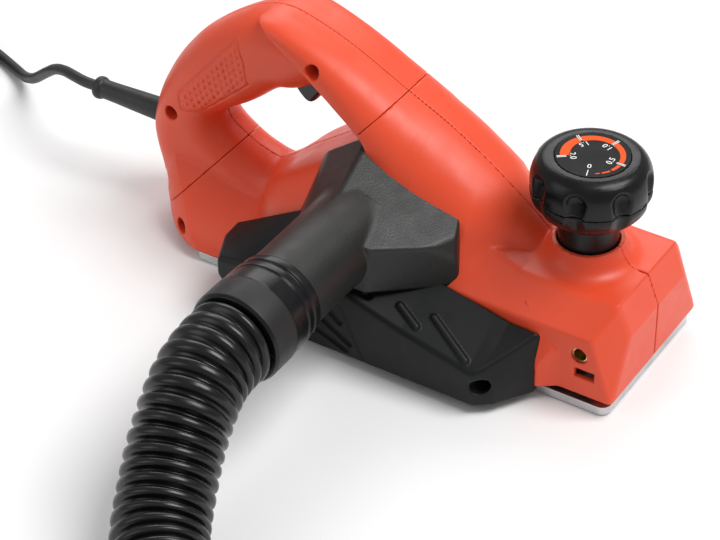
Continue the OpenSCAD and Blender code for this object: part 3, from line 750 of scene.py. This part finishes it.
# Outlines are seen from the right side as (x, z); those that reach the sole run on far
# below it, so that rounding never narrows them there.
BELOW = -60.0
OUTLINE = [
    (-180, BELOW), (-184, 5), (-190, 23), (-194.5, 40), (-195.5, 52),
    (-190, 72), (-179, 93), (-165, 111), (-148, 125), (-130, 136.5), (-113, 141.5),
    (-93, 136.5), (-72, 128.5), (-47, 115.5), (-18, 101.5), (6, 86), (22, 73.5),
    (38, 60), (60, 40), (60, BELOW),
]
HAND_GAP = [
    (-154, 66), (-151, 59), (-137, 49.8), (-121, 45.0), (-112, 50), (-103, 60),
    (-79, 77), (-62, 90), (-60, 96), (-82, 112), (-93, 105), (-103, 98.5), (-115, 95.6),
    (-132, 80.5), (-146, 71.5),
]
TAIL = [
    (-182, BELOW), (-185, 5), (-190.5, 23), (-194, 38), (-190, 60), (-150, 58),
    (-137, 48.8), (-121, 44.0), (-112, 49), (-90, 40), (-90, BELOW),
]
SHOULDER = [
    (-124, BELOW), (-123, 26), (-116, 50), (-104, 64), (-79, 80), (-62, 90), (-47, 92),
    (-18, 82), (6, 68), (24, 58), (36, 50), (44, 30), (44, BELOW),
]
FRONT = [
    (-20, BELOW), (-20, 80), (6.2, 67.7), (18.4, 60.1), (36.8, 56.7), (59.5, 56), (90, 56.5),
    (96.5, 40), (96.5, BELOW),
]
BULGE = [(-113, BELOW), (-113, 34), (-97, 47), (38, 47), (52, 34), (52, BELOW)]
CROWN_ZONE = [
    (-127, 150), (-121, 137), (-113.8, 130.6), (-90.3, 114.3), (-66, 97.0), (-60, 92),
    (-60, 40), (60, 40), (60, 150),
]
# The cast bed: its plan, its lip behind the cutter, its cheeks and the block between them.
BED_PLAN = [(-150, -39), (-144, -45), (1, -45), (1, 45), (-144, 45), (-150, 39)]
BED_LIP = [(-3, 0), (0, 0), (1.0, 5), (-3, 5)]
BED_CHEEK = [
    (-34, 3), (-34, 38), (-12, 50), (40, 50), (46, 44), (46, 9), (30, 9), (30, 1.5),
    (0, 1.5), (0, 3),
]
BED_MIDDLE = [(-34, 3), (-34, 38), (-12, 49), (4, 49), (4, 3)]
# The chip duct, outside and inside.
DUCT_WALL = [
    (-12, 50), (40, 50), (38, 54), (16, 58.5), (-10, 66), (-24, 72), (-27, 70), (-27, 60),
]
DUCT = [(-24, 61), (-23, 69), (-11, 64), (15, 56.5), (20, 50), (-12, 50)]
KNOB_X = 57.0
# The crown's half width, rounding depth and squareness along x, each as (x, value).
CROWN_HALF = [
    (-120, 22), (-106, 23), (-90, 24.5), (-75, 26.5), (-60, 29.5), (-48, 32.5), (-36, 35.5),
    (-24, 37.5), (6, 37), (16, 31), (26, 23), (36, 17.5),
]
CROWN_DEPTH = [(-105, 12), (-75, 20), (-45, 34), (-25, 44), (10, 44), (40, 32)]
CROWN_POWER = [(-105, 4.6), (-75, 3.5), (-45, 2.8), (-30, 2.5)]
# The stop ahead of the belt cover, seen from above.
STOP_PLAN = [(46, -40), (57.6, -51.5), (59.0, -51.5), (68, -45), (72, -40)]
# Half the width of the housing over the cutter, and the collar under the knob.
SIDE = 45.4
COLLAR_R, COLLAR_TOP = 17.8, 66.5
GRIP_PANEL = [(-170.5, 79), (-133, 124), (-128.5, 112), (-127, 99), (-158, 71), (-169, 70)]
# What belongs to the handle shells; the rest belongs to the lower housing.
HANDLE_ZONE = [
    (-220, -40.6), (-139.5, 54.6), (-146.8, 62), (-149, 70), (-145, 76), (-128.5, 67.4),
    (-64, 91.4), (-15, 149), (-15, 170), (-220, 170),
]
# Screws as (x, z, y of the head's outer face).
HANDLE_SCREWS = [(-85, 124, -13), (-176, 65, -12), (-181, 22, -12)]
BODY_SCREWS = [(-158, 12.5, -34), (-52, 84, -27)]
# Radii of the screw pockets and of the posts round the screws.
HEAD_R, POST_R = 3.9, 6.6
MOTOR_X, MOTOR_Z = -84.0, 36.0
DRUM_X, DRUM_Z = 14.0, 23.5
FENCE_X, FENCE_Z = 78.0, 32.0
# Wall thickness, half the gap along the seams, and how deep the ribs behind them reach.
WALL, SEAM, RIB = 2.8, 0.08, 6.5
# The belt cover: its outer face, the heights (x, z) of its top at the outer face and at the
# housing, and its plan. The housing's side opening stays under that top.
COVER_Y = -76.0
COVER_OUTER = [(-118, 33), (-109, 36), (-33, 43), (-3, 34), (34, 25), (58, 23)]
COVER_INNER = [(-118, 35), (-74, 61), (-60, 61), (-30, 52), (6, 45), (41, 37.5), (58, 37)]
COVER_PLAN = [
    (-109, -76), (38, -76), (46, -70), (57.8, -52), (57.8, -45.2), (-118, -45.2), (-118, -57),
]


def cover_top(x, y):
    """Height of the cover's sloping top face."""
    outer = np.interp(x, *zip(*COVER_OUTER))
    inner = np.interp(x, *zip(*COVER_INNER))
    share = np.clip((-47 - y) / (-47 - COVER_Y), 0, 1)
    return inner + (outer - inner) * share


def housing_form(p):
    """The outside of the whole orange housing with its handle."""
    x, y, z = p
    outline = outline_distance(curved(OUTLINE), x, z)
    gap = outline_distance(curved(HAND_GAP, 2), x, z)
    ring = smooth_max(outline, -gap, 5.0)
    grip = pillow(ring, y, 19.5, 17.0, 2.15)
    # crown: a boxy cap over the grip that grows into the body and narrows to the knob
    zone = outline_distance(CROWN_ZONE, x, z)
    half, depth, power = (
        np.interp(x, *zip(*table)) for table in (CROWN_HALF, CROWN_DEPTH, CROWN_POWER))
    crown = pillow(outline, y, half, depth, power)
    band = np.abs(y) - (14.5 + 1.7 * np.maximum(-zone, 0))
    crown = smooth_max(crown, band * 0.55, 0.8)
    crown = smooth_max(crown, zone, 0.8)
    crown = smooth_max(crown, -gap, 2.0)
    # tail: narrow under the handle, spreading to the full width at the sole
    tail_outline = outline_distance(curved(TAIL, 2), x, z)
    low = np.clip((58 - z) / 50, 0, 1)
    spread = 19.0 + 26.5 * low * low * (3 - 2 * low)
    tail = pillow(tail_outline, y, spread, 42.0, 1.6)
    # shoulder over motor and cutter, and the front block under the knob
    block = outline_distance(curved(SHOULDER, 2), x, z)
    near = smooth_max(pillow(block, y, SIDE, 30.0, 2.3), -gap, 3.0)
    far = pillow(smooth_max(block, -gap, 3.0), y, SIDE, 20.0, 2.2)
    shoulder = np.where(y < 0, near, far)
    front = outline_distance(FRONT, x, z)
    front = smooth_max(front, np.abs(y) - SIDE, 1.2)
    front = smooth_max(front, 0.672 * np.abs(y) + 0.741 * z - 62.1, 1.5)
    front = smooth_max(front, (x + 0.7 * np.abs(y) + 0.34 * z - 130.3) / 1.267, 1.5)
    lower = smooth_min(shoulder, tail, 7.0)
    flare = 0.42 * np.maximum(COLLAR_TOP - z, 0)
    collar = cut_all((np.hypot(x - KNOB_X, y) - COLLAR_R - flare) * 0.9, z - COLLAR_TOP, 40 - z)
    front = smooth_min(front, collar, 7.0)
    body = smooth_min(crown, lower, 4.0)
    body = smooth_min(body, front, 2.0)
    body = smooth_min(body, grip, 1.5)
    # the stop in front of the belt cover, and the bulge on the far side
    stop = outline_distance(STOP_PLAN, x, y)
    stop = smooth_max(stop, 0.378 * (z - 37.4) - 0.926 * (y + 45.0), 0.8)
    stop = smooth_max(stop, 0.68 * x + 0.735 * z - 67.8, 1.5)
    body = smooth_min(body, stop, 1.0)
    bulge = smooth_max(outline_distance(BULGE, x, z), np.maximum(y - 53.5, 20 - y), 6.0)
    body = smooth_min(body, bulge, 4.0)
    floor = np.where(x < 30, 5.3, 8.6) - z
    return smooth_max(body, floor, 1.2)


def grip_texture(p):
    """Height of the little raised dashes on both sides of the grip."""
    x, y, z = p
    panel = outline_distance(GRIP_PANEL, x, z)
    along, across = 0.64 * x + 0.77 * z, -0.77 * x + 0.64 * z
    row = np.floor(across / 3.1)
    a = (along + 2.3 * (row % 2)) % 4.6 - 2.3
    c = across - (row + 0.5) * 3.1
    dash = np.clip(1 - ((a / 1.55) ** 2 + (c / 0.95) ** 2), 0, 1)
    faded = np.clip(-panel / 3.0, 0, 1)
    rim = np.clip(1 - np.abs(panel) / 0.8, 0, 1)
    side = np.clip((np.abs(y) - 6.0) / 4.0, 0, 1)
    return (0.6 * dash * faded - 0.45 * rim) * side


def screw_pockets(p, screws):
    """Recesses in which screw heads sit, seen from the right side."""
    return union(*(rod_y(p, x, z, HEAD_R, -70, head_y + 3.0) for x, z, head_y in screws))


def screw_posts(p, screws):
    """Round posts inside the shells that the screws go through."""
    return union(*(np.hypot(p[0] - x, p[2] - z) - POST_R for x, z, _ in screws))


def housing_rooms(p, form):
    """Everything cut out of the lower housing beside its even hollow."""
    x, y, z = p
    under_cover = z - (cover_top(x, -47.0) - 2.5)
    chamber = union(
        box(p, (-36, -42, -5), (48, 42, 48)),
        cut_all(box(p, (-36, -45.1, -5), (48, 45.1, 40)), under_cover),
        cut_all(box(p, (-36, -80, -5), (48, -40, 60)), under_cover),
        box(p, (-36, 40, -5), (48, 49.5, 44)),
        box(p, (45, -41, -5), (84, 41, 48)),
    )
    return union(
        cut_all(chamber, 0.672 * np.abs(y) + 0.741 * z - 59.3),
        cut_all(rod_y(p, DRUM_X, DRUM_Z, 20.8, -41.8, 41.8), form + 1.0),
        rod_y(p, MOTOR_X, MOTOR_Z, 11.3, -48.6, 48.6),
        rod_y(p, MOTOR_X, MOTOR_Z, 9.6, -80, 40),
        rod_z(p, KNOB_X, 0, 15.5, 40, 90),
        cut_all(outline_distance(DUCT, x, z), -80 - y, y + 28, x - 2),
        rod_y(p, FENCE_X, FENCE_Z, 4.1, -60, -43),
        rod_y(p, FENCE_X, FENCE_Z, 6.15, -44, -29),
        box(p, (76, -60, 19.3), (86.5, -37, 24.3)),
    )


def air_slots(p):
    """Cooling slots in the far side, beside the motor."""
    slots = (
        capsule(p, (-109, 54, 18.0 + 5.4 * i), (-62 - 1.6 * i, 54, 18.0 + 5.4 * i), 1.35)
        for i in range(7))
    return np.maximum(union(*slots), 44 - p[1])


def seam_ribs(p, form, zone):
    """Low ribs inside the shells along their seams, so that no seam shows light."""
    near = np.minimum(np.abs(zone), np.abs(p[1])) - 2.2
    return np.maximum(near, -(form + RIB))


def shell_field(side, handle):
    """One quarter of the housing: right (-1) or left (+1), handle or lower body."""

    def field(p):
        x, y, z = p
        form = housing_form(p)
        zone = outline_distance(HANDLE_ZONE, x, z)
        ribs = seam_ribs(p, form, zone)
        if handle:
            form = form - grip_texture(p)
            hollow = np.maximum(form + WALL, -ribs)
            hollow = smooth_max(hollow, -screw_posts(p, HANDLE_SCREWS), 1.0)
            opening = union(
                box(p, (-114, -6.7, 86), (-77, 6.7, 117)),
                rod_y(p, -99, 121, 5.3, 9, 60),
                cut_all(np.hypot(y, z - 48.5) - 6.7, -215 - x, x + 180),
            )
            solid = smooth_max(form, -screw_pockets(p, HANDLE_SCREWS), 1.0)
        else:
            hollow = np.maximum(form + WALL, -ribs)
            hollow = smooth_max(hollow, -screw_posts(p, BODY_SCREWS), 1.0)
            hollow = np.maximum(hollow, -(np.hypot(x - MOTOR_X, z - MOTOR_Z) - 14.0
                                          + 100 * (np.abs(y) < 38)))
            opening = union(housing_rooms(p, form), air_slots(p))
            solid = smooth_max(form, -screw_pockets(p, BODY_SCREWS), 1.0)
        zone = zone if handle else -zone
        solid = np.maximum(solid, -hollow)
        solid = smooth_max(solid, -opening, 0.5)
        solid = smooth_max(solid, zone + SEAM, 0.5)
        return smooth_max(solid, -side * y + SEAM, 0.35)

    return field


def base_field(p):
    """The cast bed: rear sole, cheeks round the cutter and the wall behind the shoe."""
    x, y, z = p
    far = np.abs(y)
    plate = box(p, (-150, -45, 0), (0, 45, 4.8))
    plate = smooth_max(plate, outline_distance(BED_PLAN, x, y), 1.0)
    plate = union(plate, cut_all(outline_distance(BED_LIP, x, z), far - 45))
    cheek = cut_all(outline_distance(BED_CHEEK, x, z), 42 - far, far - 45)
    middle = cut_all(outline_distance(BED_MIDDLE, x, z), far - 42.5)
    ring = cut_all(np.hypot(x - DRUM_X, z - DRUM_Z) - 12.8, 42 - far, far - 48.8)
    wall = box(p, (42, -42.5, 9), (46, 42.5, 50))
    bridge = box(p, (45, -30, 28), (82, 30, 36))
    upper = smooth_min(union(cheek, middle), union(wall, ring), 1.5)
    upper = smooth_min(upper, bridge, 1.5)
    upper = smooth_max(upper, housing_form(p) + WALL + 0.5, 0.5)
    body = smooth_min(plate, upper, 1.5)
    cuts = [
        rod_y(p, DRUM_X, DRUM_Z, 27.0, -42, 42),
        box(p, (1.0, -42, -1), (30, 42, 12)),
        rod_y(p, DRUM_X, DRUM_Z, 11.05, -60, 60),
        rod_z(p, KNOB_X, 0, 8.1, 20, 40),
    ]
    cuts += [rod_z(p, 72, side, 3.2, 20, 50) for side in (-20, 20)]
    cuts += [rod_z(p, at, side, 4.1, -1, 2.6) for at in (-140, -100, -50) for side in (-40, 40)]
    return smooth_max(body, -union(*cuts), 0.5)


def duct_field(p):
    """The duct that leads the chips from the cutter to the outlet."""
    outside = outline_distance(DUCT_WALL, p[0], p[2])
    form = cut_all(outside, -34.7 - p[1], p[1] - 29, housing_form(p) + WALL + 0.4)
    inside = cut_all(outside + 1.5, -50 - p[1], p[1] - 27.5)
    return np.maximum(form, -inside)


def make_inner_parts():
    """The bed and the chip duct, in place of their plain CAD solids."""
    bed = skin("cast_bed", base_field, (-151.5, -50.5, -1.2), (84, 50.5, 51.5), 1.0, FIXED)
    dress(bed, sole_metal, "sole_aluminium", "base_frame")
    duct = skin("chip_duct_skin", duct_field, (-29, -36, 47), (42, 31, 74), 0.9, FIXED)
    dress(duct, inner_black, "inner_plastic", "chip_duct")


def make_shells():
    """The two handle shells and the two shells of the lower housing."""
    spans = {
        ("handle", -1): ((-198, -48, 4), (-12, 1.5, 144)),
        ("handle", 1): ((-198, -1.5, 4), (-12, 48, 144)),
        ("body", -1): ((-193, -54, 4), (99.5, 1.5, 129)),
        ("body", 1): ((-193, -1.5, 4), (99.5, 55.5, 129)),
    }
    for (part, side), (low, high) in spans.items():
        handle = part == "handle"
        step = 0.8 if handle else 1.05
        hand = "right" if side < 0 else "left"
        piece = skin(f"{part}_shell_{hand}_skin", shell_field(side, handle), low, high, step, FIXED)
        dress(piece, orange, "housing_orange", f"{part}_shell_{hand}")


make_shells()
make_inner_parts()


# ---------------------------------------------------------------- belt cover

COVER_SCREW_X, COVER_SCREW_Z = 40.0, 16.3
# Vents in the outer face, each as its two ends (x, z), and the raised bars on the top.
COVER_VENTS = [
    ((-46, 31.6), (-37.5, 24.5)), ((-52.5, 25.6), (-32, 13.2)), ((-57, 17.6), (-33.8, 8.6)),
]
COVER_BARS = [((7.8, -62, 37.2), (31.1, -72, 27.4)), ((-9, -65.7, 40), (2.7, -70.2, 35))]


def cover_form(p):
    """The outside of the belt cover."""
    x, y, z = p
    plan = outline_distance(COVER_PLAN, x, y)
    form = smooth_max(plan, (z - cover_top(x, y)) * 0.82, 2.2)
    form = smooth_max(form, 4.8 - z, 1.5)
    form = smooth_max(form, plane(p, (0.770, -0.588, 0.247), (57.8, -45, 37)), 1.5)
    form = smooth_max(form, plane(p, (-0.80, -0.2, -0.56), (-114, -60, 26)), 1.5)
    return smooth_max(form, plane(p, (-0.42, 0, -0.907), (-109, -60, 20)), 1.5)


def cover_field(p):
    """The belt cover with its bars, vents, screw post and open back."""
    x, y, z = p
    form = cover_form(p)
    form = smooth_min(form, union(*(capsule(p, a, b, 1.9) for a, b in COVER_BARS)), 0.8)
    dimple = capsule(p, (-25.5, -70, 43.4), (-24.5, -70.2, 43.2), 2.3)
    form = smooth_max(form, -dimple, 0.8)
    hollow = form + 2.4
    post = np.hypot(x - COVER_SCREW_X, z - COVER_SCREW_Z) - 6.4
    solid = np.maximum(form, -np.maximum(hollow, -post))
    vents = union(*(
        capsule(p, (a[0], COVER_Y, a[1]), (b[0], COVER_Y, b[1]), 1.7) for a, b in COVER_VENTS))
    openings = union(
        cut_all(box(p, (-120, -50, -5), (60, -40, 80)), hollow),
        rod_y(p, COVER_SCREW_X, COVER_SCREW_Z, 4.4, -90, -61),
        cut_all(vents, y + 68),
        capsule(p, (-40.5, COVER_Y - 0.3, 41), (-23.4, COVER_Y - 0.3, 6), 0.75),
    )
    return smooth_max(solid, -openings, 0.7)


dress(
    skin("belt_cover_skin", cover_field, (-120, -79, 3.5), (59.5, -44, 65), 0.8, FIXED),
    cover_black, "cover_black", "belt_cover")


# ---------------------------------------------------------------- dust adapter and cuff

SPOUT_X, SPOUT_Z, SPOUT_R = -45.0, 64.5, 21.6


# The hood's faces, each as a normal and a point on it.
ADAPTER_FACES = [
    ((0.372, -0.223, 0.901), (-51, -30.0, 95.0)),
    ((0.695, -0.719, -0.032), (-0.1, -51, 68.8)),
    ((0.821, -0.416, 0.395), (5.6, -40.5, 67.4)),
    ((-0.57, -0.308, 0.761), (-54, -29.5, 94.6)),
    ((-0.863, -0.336, 0.378), (-74, -36.5, 76.8)),
    ((0.93, 0.35, 0.10), (7.8, -40.5, 60)),
    ((0.05, -0.15, -1.0), (0, -48, 43.5)),
    ((0.0, -1.0, 0.0), (0, -73, 0)),
]
# The cuff's end over the spout, and how far along it the matt band begins.
CUFF_Y, CUFF_BAND = -114.6, 21.6


def adapter_field(p):
    """The hood over the chip outlet with its round spout, sunk into housing and cover."""
    form = reduce(lambda a, b: smooth_max(a, b, 1.6), (plane(p, *face) for face in ADAPTER_FACES))
    form = smooth_max(form, p[1] + 22.0, 1.0)
    form = smooth_min(form, rod_y(p, SPOUT_X, SPOUT_Z, SPOUT_R, -115, -50), 1.2)
    bore = rod_y(p, SPOUT_X, SPOUT_Z, SPOUT_R - 2.6, -130, -60)
    sunk = union(housing_form(p), cover_form(p)) + 1.2
    return cut_all(form, -union(form + 2.5, bore), -sunk)


def make_cuff():
    """The hose's rubber cuff, pushed over the spout: smooth lips and a matt band."""
    outline = [
        (21.75, 0.0), (22.8, 0.0), (23.1, 0.8), (23.2, 4.6), (22.5, 5.2), (22.5, 5.9),
        (23.7, 6.8), (23.9, 10.6), (23.5, 11.2), (23.5, 11.8), (24.0, 12.4), (24.1, 21.0),
        (24.4, 22.0), (24.4, 36.6), (23.4, 38.4), (18.4, 38.4), (18.4, 6.0), (21.75, 5.2),
    ]
    piece = lathe("hose_cuff_sleeve", rounded_profile(outline, 0.35), (SPOUT_X, CUFF_Y, SPOUT_Z),
                  (0, -1, 0), FIXED, 128)
    dress(piece, cuff_black, "cuff_rubber", "hose_cuff")
    piece.data.materials.append(cuff_matt)
    for face in piece.data.polygons:
        x, y, z = face.center / MM
        if math.hypot(x - SPOUT_X, z - SPOUT_Z) > 24.0 and y < CUFF_Y - CUFF_BAND:
            face.material_index = 1


dress(
    skin("dust_adapter_skin", adapter_field, (-84, -117, 36), (14, -22, 98), 0.9, FIXED),
    adapter_grey, "adapter_grey", "dust_adapter")
make_cuff()


# ---------------------------------------------------------------- knob and dial

# The knob's two halves as profiles (radius, height), with a narrow seam between them.
KNOB_TOP = 114.0
KNOB_R, NECK_R, DIAL_SEAT_R = 29.5, 15.0, 19.0
QUARTER = [math.pi / 2 * i / 12 for i in range(13)]
KNOB_NECK = [(0, 60.4), (NECK_R - 0.5, 60.4), (NECK_R, 61.2)] + [
    (NECK_R + (KNOB_R - 0.1 - NECK_R) * math.sin(t) ** 1.15, 80.5 + 14.2 * (1 - math.cos(t)) ** 0.9)
    for t in QUARTER
] + [(KNOB_R - 0.2, 95.85), (0, 95.85)]
KNOB_CAP = [(0, 96.3), (KNOB_R - 0.2, 96.3)] + [
    (DIAL_SEAT_R + (KNOB_R - DIAL_SEAT_R) * math.cos(t) ** 0.8, 100.5 + 13.3 * math.sin(t) ** 0.9)
    for t in QUARTER[:-1]
] + [(DIAL_SEAT_R, KNOB_TOP - 0.2), (0, KNOB_TOP - 0.2)]
FLUTES, FLUTE_REACH = 8, 32.9


def knob_flutes(p):
    """Upright scallops with round tops round the knob's side."""
    cuts = []
    for i in range(FLUTES):
        a = 2 * math.pi * (i + 0.28) / FLUTES
        spot, lean = (
            (KNOB_X + r * math.cos(a), r * math.sin(a)) for r in (FLUTE_REACH, FLUTE_REACH - 2.5))
        cuts += [capsule(p, (*spot, 97.0), (*lean, end), 5.4) for end in (104.5, 84.0)]
    return union(*cuts)


def knob_part(name, profile, low_z, high_z, step, bores, node):
    """One moulded half of the knob, with its flutes cut and its bores (radius, low, high)."""

    def field(p):
        form = outline_distance(profile, np.hypot(p[0] - KNOB_X, p[1]), p[2])
        form = smooth_max(form, -knob_flutes(p), 1.4)
        for radius, low, high in bores:
            form = smooth_max(form, -rod_z(p, KNOB_X, 0, radius, low, high), 0.4)
        return form

    reach = 30.8
    piece = skin(name, field, (KNOB_X - reach, -reach, low_z), (KNOB_X + reach, reach, high_z),
                 step, "depth_knob")
    dress(piece, knob_black, "knob_black", node)


# The print stands PRINT_H above the dial, sunk a little so that no gap shows.
PRINT_H, PRINT_SINK = 0.12, 0.02
DIAL_Z = KNOB_TOP - PRINT_SINK
SCALE_R = 15.6
# The numbers with their angles, and the scale's width at each of them but the first.
MARKS = [("0", -72.0), ("0.5", 0.0), ("1.0", 72.0), ("1.5", 144.0), ("2.0", 216.0)]
WIDTHS = [2.4, 3.2, 4.0, 5.0]


def ring_piece(name, spans, material):
    """Flat printed arcs on the dial. Each span is (from, to, inner radii, outer radius)."""
    points, faces = [], []
    for start, end, inner_a, inner_b, outer in spans:
        count = max(2, int((end - start) / 3) + 1)
        base = len(points)
        for i in range(count):
            t = i / (count - 1)
            a = math.radians(start + (end - start) * t)
            inner = inner_a + (inner_b - inner_a) * t
            for r, z in ((inner, 0), (outer, 0), (outer, PRINT_H), (inner, PRINT_H)):
                points.append((KNOB_X + r * math.cos(a), r * math.sin(a), DIAL_Z + z))
        for i in range(count - 1):
            for k in range(4):
                a, b = base + 4 * i + k, base + 4 * i + (k + 1) % 4
                faces.append((a, b, b + 4, a + 4))
        faces.append((base, base + 3, base + 2, base + 1))
        last = base + 4 * (count - 1)
        faces.append((last, last + 1, last + 2, last + 3))
    piece = weld(new_mesh(name, points, faces, "depth_knob", smooth=False), 0.000001)
    return dress(piece, material, "dial_black")


def number_mesh(text, angle):
    """One number, its foot towards the rim, as points in millimetres and faces."""
    data = bpy.data.curves.new("number", "FONT")
    data.body = text
    data.align_x, data.align_y = "CENTER", "CENTER"
    data.size = 4.4
    data.extrude = PRINT_H / 2
    data.resolution_u = 3
    holder = link("number", data)
    bpy.context.view_layer.update()
    made = bpy.data.meshes.new_from_object(
        holder.evaluated_get(bpy.context.evaluated_depsgraph_get()))
    co = np.array([v.co for v in made.vertices], float)
    faces = [list(f.vertices) for f in made.polygons]
    bpy.data.objects.remove(holder)
    bpy.data.curves.remove(data)
    bpy.data.meshes.remove(made)
    a = math.radians(angle)
    along = np.array([-math.sin(a), math.cos(a)])
    inward = np.array([-math.cos(a), -math.sin(a)])
    flat = co[:, :1] * along + co[:, 1:2] * inward
    spot = np.array([KNOB_X, 0.0]) - 9.6 * inward
    return np.column_stack([flat + spot, co[:, 2] + DIAL_Z + PRINT_H / 2]), faces


def make_dial():
    """The dial's growing scale, its marks and its numbers."""
    spans = []
    for (_, start), (_, end), a, b in zip(MARKS[1:], MARKS[2:], WIDTHS, WIDTHS[1:]):
        spans.append((start + 3.2, end - 3.2, SCALE_R - a, SCALE_R - b, SCALE_R))
    for start, end, w in ((-58, -50, 0.6), (-46, -30, 0.9), (-26, -5, 1.5)):
        spans.append((start, end, SCALE_R - w, SCALE_R - w - 0.3, SCALE_R))
    ring_piece("dial_scale", spans, dial_orange)
    ticks = []
    for _, angle in MARKS:
        # a pair of ticks at every number but 0
        for shift in ((0.0,) if angle < -50 else (-1.6, 1.6)):
            ticks.append((angle + shift - 0.75, angle + shift + 0.75, 12.6, 12.6, 17.2))
    ring_piece("dial_marks", ticks, dial_white)
    points, faces = [], []
    for text, angle in MARKS:
        co, polygons = number_mesh(text, angle)
        base = len(points)
        points += co.tolist()
        faces += [[base + i for i in f] for f in polygons]
    piece = new_mesh("dial_numbers", points, faces, "depth_knob", smooth=False)
    dress(piece, dial_white, "dial_black")


knob_part("depth_knob_base", KNOB_NECK, 59.3, 97.2, 0.75, [(4.0, 50, 93), (7.1, 50, 66.6)],
          "depth_knob_neck")
knob_part("depth_knob_top", KNOB_CAP, 95.2, 115, 0.7, [(18.2, 112.9, 120)], "depth_knob_cap")
make_dial()


# ---------------------------------------------------------------- trigger and button


TRIGGER = [
    (-81.5, 107.5), (-81.5, 113.5), (-89, 114.5), (-110.5, 109.5), (-111, 104), (-107, 96),
    (-101.5, 90.6), (-97.5, 90.8), (-94.2, 96), (-88, 104),
]
BUTTON = [
    (0.0, 0.0), (3.0, 0.0), (3.0, 4.5), (5.0, 4.5), (5.0, 10.4), (4.4, 11.3), (3.6, 11.2),
    (1.8, 10.7), (0.0, 10.6),
]


def trigger_field(p):
    """The trigger with the bore for its pin."""
    form = outline_distance(curved(TRIGGER, 2), p[0], p[2])
    form = pillow(form, p[1], 6.0, 3.0, 3.2)
    return smooth_max(form, -rod_y(p, -85, 112, 2.05, -10, 10), 0.3)


def make_controls():
    """The trigger and the dished lock-off button."""
    piece = skin("trigger_skin", trigger_field, (-113, -7, 89), (-79.5, 7, 117), 0.6, "trigger")
    dress(piece, trigger_black, "trigger_black", "trigger")
    low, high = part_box("lock_off_button")
    at = ((low.x + high.x) / 2 / MM, low.y / MM, (low.z + high.z) / 2 / MM)
    button = lathe("lock_off_button_skin", rounded_profile(BUTTON, 0.3), at, (0, 1, 0),
                   "lock_button", 64)
    dress(button, trigger_black, "trigger_black", "lock_off_button")


make_controls()


# ---------------------------------------------------------------- stage and light


def make_stage():
    """A pale round floor, seen against the same pale light from every side."""
    floor = bpy.data.meshes.new("floor")
    count, reach = 96, 9.0
    turns = [2 * math.pi * i / count for i in range(count)]
    points = [(reach * math.cos(a), reach * math.sin(a), -0.0002) for a in turns]
    floor.from_pydata(points, [], [list(range(count))])
    n = Nodes("floor_paper")
    tone = n.mix(n.spread(n.noise(240.0, 2.0), 0.0, 1.0), (0.90, 0.90, 0.90), (0.93, 0.93, 0.93))
    n.join(tone, n.shader.inputs["Base Color"])
    n.shader.inputs["Roughness"].default_value = 0.85
    floor.materials.append(n.material)
    link("floor", floor)


def area_light(name, at, size, power, aim=(-0.04, -0.03, 0.05)):
    """A soft lamp of a size and power in metres and watts, turned to a point."""
    data = bpy.data.lights.new(name, "AREA")
    data.shape = "RECTANGLE"
    data.size, data.size_y = size
    data.energy = power
    lamp = link(name, data)
    lamp.location = at
    lamp.rotation_euler = (Vector(at) - Vector(aim)).to_track_quat("Z", "Y").to_euler()


def make_light():
    """Three soft lamps in a pale, even studio."""
    area_light("key", (0.75, 0.25, 1.6), (0.9, 0.9), 24)
    area_light("fill", (-0.9, -1.3, 0.9), (0.8, 1.2), 4)
    area_light("rim", (-0.7, 1.1, 1.1), (1.4, 0.7), 10)
    world = bpy.data.worlds.new("studio")
    world.use_nodes = True
    sky = world.node_tree.nodes["Background"]
    sky.inputs["Color"].default_value = (1, 1, 1, 1)
    sky.inputs["Strength"].default_value = 0.40
    bpy.context.scene.world = world
    bpy.context.scene.view_settings.view_transform = "Standard"


make_stage()
make_light()
